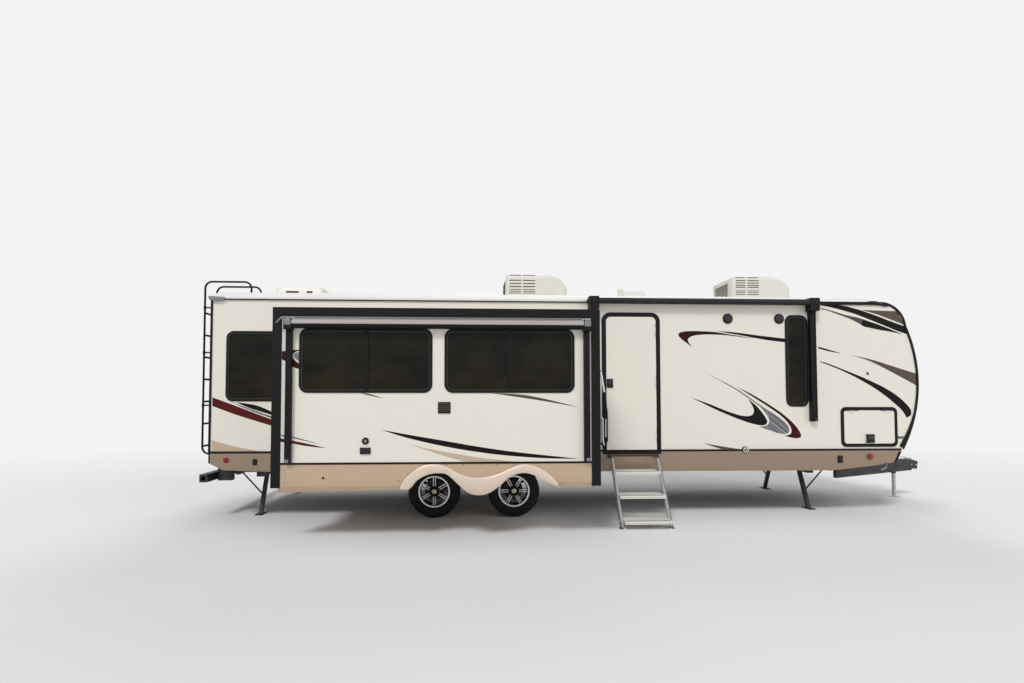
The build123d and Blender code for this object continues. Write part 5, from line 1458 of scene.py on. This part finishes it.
# Air conditioners: the side louvres' columns by station, their heights, and the rear face's station
COOLERS = (
    (((3.934, 4.114), (4.137, 4.323)), (3.428, 3.347, 3.300, 3.254, 3.207, 3.181, 3.155), 3.872),
    (((7.420, 7.570), (7.600, 7.780)), (3.426, 3.379, 3.342, 3.306, 3.275, 3.218, 3.190, 3.163), 7.350),
)
COOLER_HALF = 0.330
COOLER_SHOULDER = 0.070
COOLER_TOP = 3.456
COOLER_SEAM = (3.234, 3.244)
LOUVRE_NARROW = 3.23         # the louvres below this height are narrower
LOUVRE_SUNK = 0.004
BACK_SLOTS = (3.165, 3.195, 3.225, 3.255, 3.285, 3.315, 3.345)
BACK_SLOT_HALF = (0.20, 0.005)

VENT_SLOT = (3.133, 3.170)
VENT_SLOTS = ((0.601, 0.786), (0.905, 0.991))
VENT_LID_LOW = 3.1303
VENT_LID_HALF = 0.260
VENT_LID_SLOPE = tan(radians(18))


def cooler_inset(z):
    """How far a shroud's side has curved in at a height."""
    above = z - (COOLER_TOP - COOLER_SHOULDER)
    if above <= 0:
        return 0.0
    return COOLER_SHOULDER - sqrt(max(COOLER_SHOULDER ** 2 - above ** 2, 0.0))


def leaning_slot(piece, stations, heights, insets, side, out, thick):
    """A dark slot, painted shade for an opening, on a side that leans in by an inset at each of its two
    heights.
    """
    near, far = at(stations[0]), at(stations[1])
    low, high = (side - out * inset for inset in insets)
    foot, top = heights
    outline = [(near, low, foot), (far, low, foot), (far, high, top), (near, high, top)]
    piece.prism(outline, (0, out * thick, 0), "cavity")


class TRAILER_OT_roof_units(bpy.types.Operator):
    """Finish the air conditioners and vents, and add their louvres and seams"""
    bl_idname = "trailer.roof_units"
    bl_label = "Roof units"

    def execute(self, context):
        dress_node("air_conditioners", "moulding", sizes().edge)
        for name in ("vent_bases", "vent_lid_rear", "vent_lid_front"):
            dress_node(name, "moulding")
        for number, (columns, heights, back_station) in enumerate(COOLERS):
            louvres = Piece("cooler_louvres_%d" % number)
            seam = (columns[0][0] - 0.02, columns[-1][1] + 0.01)
            for out in (-1, 1):
                side = mid_y + out * COOLER_HALF
                # Louvres as dark slots: painted shade for their openings.
                for column in columns:
                    for z in heights:
                        levels = about(z, sizes().slot * (0.5 if z > LOUVRE_NARROW else 0.35))
                        insets = [cooler_inset(level) + LOUVRE_SUNK for level in levels]
                        leaning_slot(louvres, column, levels, insets, side, out, 0.0052)
                wall_box(louvres, seam, COOLER_SEAM, side, out, 0.004, "moulding", 0.0015)
            back = at(back_station)
            across, up = BACK_SLOT_HALF
            # Dark boxes as painted shade for the slots in the rear face.
            for z in BACK_SLOTS:
                louvres.box((back + 0.012, mid_y - across, z - up), (back - 0.0012, mid_y + across, z + up),
                            "cavity")
            louvres.done("trailer", slot="cooler")

        slots = Piece("vent_lid_slots")
        insets = [(z - VENT_LID_LOW) * VENT_LID_SLOPE + 0.002 for z in VENT_SLOT]
        # The lids' slots are dark slots: painted shade for their openings.
        for out in (-1, 1):
            for stations in VENT_SLOTS:
                leaning_slot(slots, stations, VENT_SLOT, insets, mid_y + out * VENT_LID_HALF, out, 0.0032)
        slots.done("vent_lid_rear", slot="vent")
        return {"FINISHED"}


LADDER_OUT = 0.190
LADDER_RAILS = (1.010, 0.690)         # from the body's middle towards the camp side
RUNGS = 7
RUNG_LOW = 0.940
RUNG_STEP = 0.295
LADDER_BRACKETS = (1.480, 2.180, 2.780)
LADDER_FOOT = 0.840


class TRAILER_OT_ladder(bpy.types.Operator):
    """Finish the ladder and add its rung pads and wall flanges"""
    bl_idname = "trailer.ladder"
    bl_label = "Ladder"

    def execute(self, context):
        dress_node("ladder", "trim")
        pads = Piece("ladder_pads")
        x = rear_x - LADDER_OUT
        rails = [mid_y - away for away in LADDER_RAILS]
        for number in range(RUNGS):
            z = RUNG_LOW + RUNG_STEP * number
            pads.tube([(x, rails[0] + 0.040, z), (x, rails[1] - 0.040, z)], 0.0135, "rubber")
        for y in rails:
            for z in (*LADDER_BRACKETS, LADDER_FOOT):
                pads.disc((rear_x + SUNK, y, z), (-1, 0, 0), 0.026, 0.006, "plastic")
            for z in LADDER_BRACKETS:
                pads.tube([(x, y, z - 0.022), (x, y, z + 0.022)], 0.0165, "plastic")
        pads.done("trailer", slot="frame_black")
        return {"FINISHED"}


STEP_STATION = 5.484
STEP_HALF = 0.320
STRINGER_WIDTH = 0.0325
# STRINGER_FACE also sets how far in from a stringer's outside the painted shade reaches.
STRINGER_FACE = 0.016
STEP_BAR_LOW = 0.80
TREAD_HALF = STEP_HALF - 0.034
STEP_TREADS = ((0.674, 0.105), (0.473, 0.371), (0.272, 0.637))     # out from the wall, height
STEP_BOLTS = ((0.560, 0.085), (0.360, 0.350), (0.180, 0.616))
RIDGES = 9
RIDGE_START = 0.052
RIDGE_STEP = 0.021
TREAD_GROOVE = (0.0278, 0.0258)       # its lower and upper edge, below the top of the tread
STEP_FOOT = (0.617, 0.561)


class TRAILER_OT_steps(bpy.types.Operator):
    """Finish the entry steps and add their ridges and feet"""
    bl_idname = "trailer.steps"
    bl_label = "Steps"

    def execute(self, context):
        dress_node("entry_steps", "steps")
        detail = Piece("step_ridges")
        left, right = (at(end) for end in about(STEP_STATION, TREAD_HALF))
        for out, top in STEP_TREADS:
            front = camp_y - out
            for number in range(RIDGES):
                y = front + RIDGE_START + RIDGE_STEP * number
                detail.box((left, y, top - 0.001), (right, y + sizes().ridge, top + 0.0016), "mill")
            # A dark strip as painted shade in the groove on each tread's front.
            detail.box((left, front - 0.0006, top - TREAD_GROOVE[0]),
                       (right, front + 0.001, top - TREAD_GROOVE[1]), "cavity")
            detail.box((left + 0.012, front + 0.010, top - 0.001),
                       (right - 0.012, front + 0.034, top + 0.0006), "gasket")
        near, far = (camp_y - out for out in STEP_FOOT)
        for side in (-1, 1):
            middle = at(STEP_STATION + side * (STEP_HALF - STRINGER_FACE))
            detail.box((middle - 0.0185, near, 0.0), (middle + 0.0185, far, 0.016), "plastic", 0.003)
            for out, top in STEP_BOLTS:
                place = Vector((at(STEP_STATION + side * (STEP_HALF - 0.001)), camp_y - out, top))
                detail.disc(place, (side, 0, 0), 0.010, 0.005, "zinc", steps=HEX)
        detail.done("trailer", slot="step_metal")
        return {"FINISHED"}


TAIL_LAMP_AWAY = 1.029       # from the body's middle
TAIL_LAMP_HALF = 0.093
# Parts across a tail lamp: lowest, highest, finish, proud
TAIL_LAMP = ((0.955, 0.962, "plastic", 0.025), (1.288, 1.295, "plastic", 0.025),
             (1.068, 1.076, "plastic", 0.0235), (0.966, 1.064, "clear", 0.0232))
TAIL_LAMP_RIM = (0.955, 1.295)
BRAKE_LAMP = (0.265, 2.684, 2.746)    # half its length, lowest, highest
# Markers: station, height, radius, finish
MARKERS = ((0.224, 0.782, 0.033, "red"), (8.759, 0.785, 0.041, "amber"))


class TRAILER_OT_lamps(bpy.types.Operator):
    """Finish the lamps and add their bezels and lenses"""
    bl_idname = "trailer.lamps"
    bl_label = "Lamps"

    def execute(self, context):
        dress_node("lamps", "red")
        tail = Piece("tail_lamp_detail")
        wall = rear_x + SUNK
        low, high = TAIL_LAMP_RIM
        for out in (-1, 1):
            y = mid_y + out * TAIL_LAMP_AWAY
            for foot, top, key, proud in TAIL_LAMP:
                near, far = about(y, TAIL_LAMP_HALF)
                tail.box((wall, near, foot), (rear_x - proud, far, top), key, 0.001)
            for near, far in ((-0.0895, -0.0955), (0.0895, 0.0955)):
                tail.box((wall, y + near, low), (rear_x - 0.025, y + far, high), "plastic", 0.001)
        half, low, high = BRAKE_LAMP
        tail.box((wall, mid_y - half, low), (rear_x - 0.006, mid_y + half, high), "plastic", 0.002)
        tail.done("trailer", slot="lamp")
        markers = Piece("marker_lamps")
        for side, y, out in SIDES:
            for station, z, radius, key in MARKERS:
                x = at(station)
                markers.disc((x, y + out * 0.024, z), (0, out, 0), radius * 0.86, 0.007, key, 0.004)
                # Bezels in the body skirts' colour, which has painted shade and painted reflection in it.
                markers.disc((x, y + out * 0.011, z), (0, out, 0), radius + 0.006, 0.006, "taupe", 0.003)
        markers.done("trailer", slot="lamp")
        return {"FINISHED"}


SPEAKERS = ((6.825, 2.649), (7.538, 2.652))
SPEAKER_SLOTS = 7
SPEAKER_SLOT_STEP = 0.013
SPEAKER_CLOTH = 0.046
OUTLET = (7.038, 0.879)
# Rounds of the outlet: how far out they start, radius, height, finish, edge
OUTLET_ROUNDS = ((0.0, 0.045, 0.024, "plastic", 0.006), (0.023, 0.037, 0.003, "machined", 0.002),
                 (0.026, 0.026, 0.002, "gasket", 0.001))
OUTLET_HANDLE = ((7.022, 0.030, 0.900), (7.048, 0.030, 0.862))
NOSE_FITTING = (8.768, 1.909)
# Plugs on the body's skirt: stations and heights
SKIRT_PLUGS = (((8.309, 8.378), (0.702, 0.799)), ((0.558, 0.612), (0.717, 0.794)))
TONGUE_HOOK = ((8.985, 0.006, 0.716), (8.983, 0.024, 0.680), (8.975, 0.024, 0.640), (8.945, 0.024, 0.615),
               (8.900, 0.018, 0.604))

SLIDE_INLET = (2.193, 1.105)
SLIDE_VENT = ((2.134, 2.249), (0.962, 1.032), 0.016, "plastic", 0.004)
SLIDE_VENT_BARS = (0.980, 0.997, 1.014)
SLIDE_GRILLE = ((2.988, 3.126), (1.407, 1.534), 0.012, "plastic", 0.004)
GRILLE_LOW = 1.428
GRILLE_STEP = 0.021
GRILLE_BARS = 5

# Hatches on the road side: station, height, width, tall
HATCHES = ((2.45, 1.18, 0.33, 0.33), (5.65, 1.30, 0.52, 0.42), (5.65, 2.00, 0.42, 0.16),
           (3.40, 1.25, 0.42, 0.16), (0.75, 1.25, 0.13, 0.13))
HATCH_SLOT_STEP = 0.03
HATCH_MARGIN = 0.045


class TRAILER_OT_wall_fittings(bpy.types.Operator):
    """Add the speakers, outlets, inlets and vents on the walls"""
    bl_idname = "trailer.wall_fittings"
    bl_label = "Wall fittings"

    def execute(self, context):
        dress_node("road_hatches", "moulding", sizes().edge)
        y = camp_y
        speakers = Piece("speakers")
        for station, z in SPEAKERS:
            wall_disc(speakers, station, z, y, -1, 0.069, 0.014, "plastic", 0.006)
            wall_disc(speakers, station, z, y - 0.013, -1, 0.050, 0.003, "gasket", 0.002)
            # Dark slots as painted shade for the openings in the speaker's grille.
            for number in range(SPEAKER_SLOTS):
                rise = (number - SPEAKER_SLOTS // 2) * SPEAKER_SLOT_STEP
                half = sqrt(SPEAKER_CLOTH ** 2 - rise ** 2)
                wall_box(speakers, about(station, half), about(z + rise, 0.0022), y, -1, 0.0172, "cavity",
                         sunk=-0.0155)
        speakers.done("trailer")

        fittings = Piece("camp_fittings")
        for start, radius, height, key, edge in OUTLET_ROUNDS:
            wall_disc(fittings, *OUTLET, y - start, -1, radius, height, key, edge)
        wall_rod(fittings, OUTLET_HANDLE, y, -1, 0.004, "machined", 8)
        wall_disc(fittings, *NOSE_FITTING, y, -1, 0.015, 0.010, "plastic", 0.003)
        skirt_y = y - SKIRT_PROUD
        for stations, heights in SKIRT_PLUGS:
            wall_box(fittings, stations, heights, skirt_y, -1, 0.012, "plastic", 0.004)
            wall_box(fittings, about(sum(stations) / 2, 0.004), (heights[0] + 0.012, heights[1] - 0.012),
                     skirt_y, -1, 0.0135, "gasket", 0.001)
        wall_rod(fittings, TONGUE_HOOK, y, -1, 0.011, "casting")
        fittings.done("trailer")

        y = slide_y
        slide = Piece("slide_fittings")
        wall_disc(slide, *SLIDE_INLET, y, -1, 0.038, 0.014, "plastic", 0.004)
        wall_disc(slide, *SLIDE_INLET, y - 0.0135, -1, 0.016, 0.002, "casting")
        wall_boxes(slide, y, -1, (SLIDE_VENT, SLIDE_GRILLE))
        for z in SLIDE_VENT_BARS:
            wall_box(slide, (2.144, 2.239), about(z, 0.003), y, -1, 0.0185, "gasket", 0.001)
        for number in range(GRILLE_BARS):
            z = GRILLE_LOW + GRILLE_STEP * number
            # Dark strips as painted shade between the grille's bars.
            wall_box(slide, (3.003, 3.111), about(z, 0.0035), y, -1, 0.0128, "cavity")
            wall_box(slide, (3.000, 3.114), (z + 0.0035, z + 0.0100), y, -1, 0.0165, "umber", 0.001)
        slide.done("slide_room")

        road = Piece("road_fittings")
        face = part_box("road_hatches")[1].y
        for station, z, width, tall in HATCHES:
            # Dark slots as painted shade for the hatches' vent openings.
            for number in range(int(tall / HATCH_SLOT_STEP) - 2):
                level = z - tall / 2 + HATCH_MARGIN + HATCH_SLOT_STEP * number
                stations = about(station, width / 2 - 0.03)
                wall_box(road, stations, about(level, 0.004), face, 1, 0.0012, "cavity")
        road.done("trailer", slot="vent")
        return {"FINISHED"}


LATCH_BACK = 0.120           # from the coupler's front end
COUPLER_BOLTS = (0.10, 0.17)
JACK_STATION = 10.140
GAS_SEAM_UP = 0.30


class TRAILER_OT_hitch(bpy.types.Operator):
    """Add the coupler's latch, the jack's head details and the gas cover's seam"""
    bl_idname = "trailer.hitch"
    bl_label = "Hitch"

    def execute(self, context):
        low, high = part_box("coupler")
        latch = Piece("coupler_latch")
        x = high.x - LATCH_BACK
        top = high.z
        latch.box((x - 0.070, mid_y - 0.013, top - 0.002), (x + 0.020, mid_y + 0.013, top + 0.026),
                  "zinc", 0.005)
        lever = ((-0.060, 0.020), (-0.110, 0.040), (-0.150, 0.036))
        latch.tube([(x + along, mid_y, top + up) for along, up in lever], 0.008, "zinc")
        for y, out in ((low.y + 0.002, -1), (high.y - 0.002, 1)):
            for along in COUPLER_BOLTS:
                place = (low.x + along, y, (low.z + high.z) / 2)
                latch.disc(place, (0, out, 0), 0.013, 0.009, "zinc", steps=HEX)
        latch.done("trailer", slot="zinc")

        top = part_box("jack_tube")[1].z
        head = Piece("jack_head")
        x = at(JACK_STATION)
        head.disc((x, mid_y, top - 0.003), (0, 0, 1), 0.032, 0.018, "plastic", 0.006)
        head.box((x + 0.073, mid_y - 0.030, top - 0.110), (x + 0.0875, mid_y + 0.030, top - 0.050),
                 "clear", 0.004)
        head.box((x - 0.083, mid_y - 0.063, top - 0.153), (x + 0.088, mid_y + 0.063, top - 0.143),
                 "plastic", 0.003)
        head.done("trailer", slot="chassis")

        low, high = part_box("propane_cover")
        seam = Piece("gas_cover_seam")
        z = low.z + GAS_SEAM_UP
        seam.box((low.x - 0.001, low.y - 0.001, z), (low.x + 0.004, high.y + 0.001, z + 0.010), "gasket")
        seam.box((high.x - 0.004, low.y + 0.05, z), (high.x + 0.001, high.y - 0.05, z + 0.010), "gasket")
        seam.done("trailer", slot="liner")
        return {"FINISHED"}


CAMERA_SHIFT = (0.01816, 0.0366)
CAMERA_END = 400
FLOOR_HALF = 60
SKY_TINT = (0.95, 0.965, 1.0, 1)
# Lamps: name, turn from straight at the camp side, height, strength, angle
LAMPS = (("key", -28, 48, 1.55, 14), ("fill", 55, 30, 0.5, 40), ("back", 170, 40, 0.7, 30))


def put_up(name, data):
    """A new object in the scene."""
    made = bpy.data.objects.new(name, data)
    bpy.context.scene.collection.objects.link(made)
    return made


def put_up_camera(settings):
    camera = put_up("camera", bpy.data.cameras.new("camera"))
    camera.location = (at(settings.camera_station), camp_y - settings.camera_distance, settings.camera_height)
    camera.rotation_euler = (pi / 2 + settings.camera_tilt, 0, -settings.camera_turn)
    camera.data.sensor_width = 36
    camera.data.lens = settings.lens
    camera.data.shift_x, camera.data.shift_y = CAMERA_SHIFT
    camera.data.clip_end = CAMERA_END
    bpy.context.scene.camera = camera


def put_up_floor():
    floor = bmesh.new()
    half = FLOOR_HALF
    places = ((-half, -half, 0), (half, -half, 0), (half, half, 0), (-half, half, 0))
    floor.faces.new([floor.verts.new(place) for place in places])
    data = bpy.data.meshes.new("floor")
    floor.to_mesh(data)
    floor.free()
    data.materials.append(finish("studio_floor"))
    put_up("floor", data)


def put_up_lamps():
    for name, turn, height, strength, angle in LAMPS:
        lamp = bpy.data.lights.new(name, "SUN")
        lamp.energy = strength
        lamp.angle = radians(angle)
        away = Vector((sin(radians(turn)), -cos(radians(turn)), 0)) * cos(radians(height))
        away.z = sin(radians(height))
        put_up(name, lamp).rotation_euler = away.to_track_quat("Z", "Y").to_euler()


def put_up_world(settings):
    """Even light, and the pale backdrop for what the camera, mirrors and glass see."""
    world = bpy.data.worlds.new("studio")
    bpy.context.scene.world = world
    world.use_nodes = True
    nodes, links = world.node_tree.nodes, world.node_tree.links
    light = nodes["Background"]
    light.inputs["Color"].default_value = SKY_TINT
    light.inputs["Strength"].default_value = settings.world_light
    seen = nodes.new("ShaderNodeBackground")
    seen.inputs["Color"].default_value = (*settings.backdrop, 1)
    seen.inputs["Strength"].default_value = 1.0
    path = nodes.new("ShaderNodeLightPath")
    either = nodes.new("ShaderNodeMath")
    either.operation = "MAXIMUM"
    links.new(path.outputs["Is Camera Ray"], either.inputs[0])
    links.new(path.outputs["Is Glossy Ray"], either.inputs[1])
    every = nodes.new("ShaderNodeMath")
    every.operation = "MAXIMUM"
    links.new(either.outputs[0], every.inputs[0])
    links.new(path.outputs["Is Transmission Ray"], every.inputs[1])
    blend = nodes.new("ShaderNodeMixShader")
    links.new(every.outputs[0], blend.inputs["Fac"])
    links.new(light.outputs[0], blend.inputs[1])
    links.new(seen.outputs[0], blend.inputs[2])
    links.new(blend.outputs[0], nodes["World Output"].inputs["Surface"])


class TRAILER_OT_stage(bpy.types.Operator):
    """Put up the camera, the floor, the lamps and the background"""
    bl_idname = "trailer.stage"
    bl_label = "Stage"

    def execute(self, context):
        settings = context.scene.trailer_stage
        put_up_camera(settings)
        put_up_floor()
        put_up_lamps()
        put_up_world(settings)
        context.scene.view_settings.view_transform = "Standard"
        return {"FINISHED"}


def make_studio_floor():
    """Pale floor that keeps the shadow near the trailer and melts into the backdrop further off."""
    settings = bpy.context.scene.trailer_stage
    made = Finish("studio floor", settings.floor, roughness=0.9, specular=0.1)
    made.paint(made.shade(0.01, 0.6))
    across = made.maths("ABSOLUTE", made.maths("MULTIPLY", made.axis("X"), 0.75))
    aside = made.maths("ABSOLUTE", made.axis("Y"))
    squares = made.maths("ADD", made.maths("POWER", across, 2.0), made.maths("POWER", aside, 2.0))
    far = made.spread(made.maths("SQRT", squares), 6.0, 13.0)
    glow = made.node("ShaderNodeEmission", {"Color": (*settings.backdrop, 1), "Strength": 1.0})
    melt = made.node("ShaderNodeMixShader", {0: far, 1: made.shader.outputs[0], 2: glow.outputs[0]})
    made.tree.links.new(melt.outputs[0], made.tree.nodes["Material Output"].inputs["Surface"])
    return made


# Each finish: its function, and what that takes
MAKERS = {
    "gelcoat": (make_gelcoat,), "trim": (make_trim,), "casting": (make_casting,), "gasket": (make_gasket,),
    "glass": (make_glass,), "membrane": (make_membrane,), "chassis": (make_chassis,), "zinc": (make_zinc,),
    "corrugated": (make_corrugated,), "mill": (make_mill,), "steps": (make_steps,), "rubber": (make_rubber,),
    "wheel": (make_wheel,), "machined": (make_machined,), "brass": (make_brass,), "clear": (make_clear,),
    "moulding": (make_moulding,), "cavity": (make_recess_shade,), "plastic": (make_plastic,),
    "plywood": (make_plywood,), "roller": (make_roller,), "canvas": (make_canvas,), "silver": (make_silver,),
    "claret": (make_claret,), "crescent": (make_crescent,), "studio_floor": (make_studio_floor,),
    "skirt": (skirt_paint, "champagne paint", "skirt"),
    # Body skirt paint: the champagne paint darkened, painted shade and painted reflection.
    "taupe": (skirt_paint, "taupe paint", "taupe"),
    # Fender paint: the skirt's paint lightened, a painted highlight.
    "ribbon": (skirt_paint, "fender paint", "ribbon"),
    "red": (lens_finish, "red lens", (0.25, 0.016, 0.010), "Z"),
    "amber": (lens_finish, "amber lens", (0.27, 0.040, 0.018), "X"),
    "maroon": (film_finish, "maroon stripe", "maroon"),
    "charcoal": (film_finish, "charcoal stripe", "charcoal"),
    "tan": (film_finish, "tan stripe", "tan"),
    "umber": (film_finish, "umber stripe", "umber"),
    "pale": (film_finish, "pale stripe", "gelcoat", 0.94),
    "slate": (film_finish, "slate stripe", "silver", 0.42),
    "hook_red": (film_finish, "dark maroon stripe", "maroon", 0.6),
}


OPERATORS = (TRAILER_OT_stage, TRAILER_OT_shell, TRAILER_OT_roof_edge, TRAILER_OT_stripes, TRAILER_OT_fenders,
             TRAILER_OT_chassis, TRAILER_OT_wheels, TRAILER_OT_windows, TRAILER_OT_entry_door,
             TRAILER_OT_baggage_doors, TRAILER_OT_awnings, TRAILER_OT_roof_units, TRAILER_OT_ladder,
             TRAILER_OT_steps, TRAILER_OT_lamps, TRAILER_OT_wall_fittings, TRAILER_OT_hitch)


class TRAILER_PT_panel(bpy.types.Panel):
    """The trailer's sizes, colours and pieces"""
    bl_idname = "TRAILER_PT_panel"
    bl_label = "Travel trailer"
    bl_space_type = "VIEW_3D"
    bl_region_type = "UI"
    bl_category = "Trailer"

    def draw(self, context):
        layout = self.layout
        scene = context.scene
        for group in (scene.trailer_sizes, scene.trailer_colours, scene.trailer_stage):
            box = layout.box()
            for key in group.__annotations__:
                box.prop(group, key)
        for operator in OPERATORS:
            layout.operator(operator.bl_idname)


CLASSES = (TrailerColours, TrailerSizes, TrailerStage, *OPERATORS, TRAILER_PT_panel)


def register():
    for item in CLASSES:
        bpy.utils.register_class(item)
    bpy.types.Scene.trailer_colours = PointerProperty(type=TrailerColours)
    bpy.types.Scene.trailer_sizes = PointerProperty(type=TrailerSizes)
    bpy.types.Scene.trailer_stage = PointerProperty(type=TrailerStage)


def unregister():
    del bpy.types.Scene.trailer_colours
    del bpy.types.Scene.trailer_sizes
    del bpy.types.Scene.trailer_stage
    for item in reversed(CLASSES):
        bpy.utils.unregister_class(item)


def main():
    register()
    bpy.ops.trailer.stage()
    bpy.ops.trailer.shell()
    bpy.ops.trailer.roof_edge()
    bpy.ops.trailer.stripes()
    bpy.ops.trailer.fenders()
    bpy.ops.trailer.chassis()
    bpy.ops.trailer.wheels()
    bpy.ops.trailer.windows()
    bpy.ops.trailer.entry_door()
    bpy.ops.trailer.baggage_doors()
    bpy.ops.trailer.awnings()
    bpy.ops.trailer.roof_units()
    bpy.ops.trailer.ladder()
    bpy.ops.trailer.steps()
    bpy.ops.trailer.lamps()
    bpy.ops.trailer.wall_fittings()
    bpy.ops.trailer.hitch()
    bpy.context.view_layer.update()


if __name__ == "__main__":
    main()
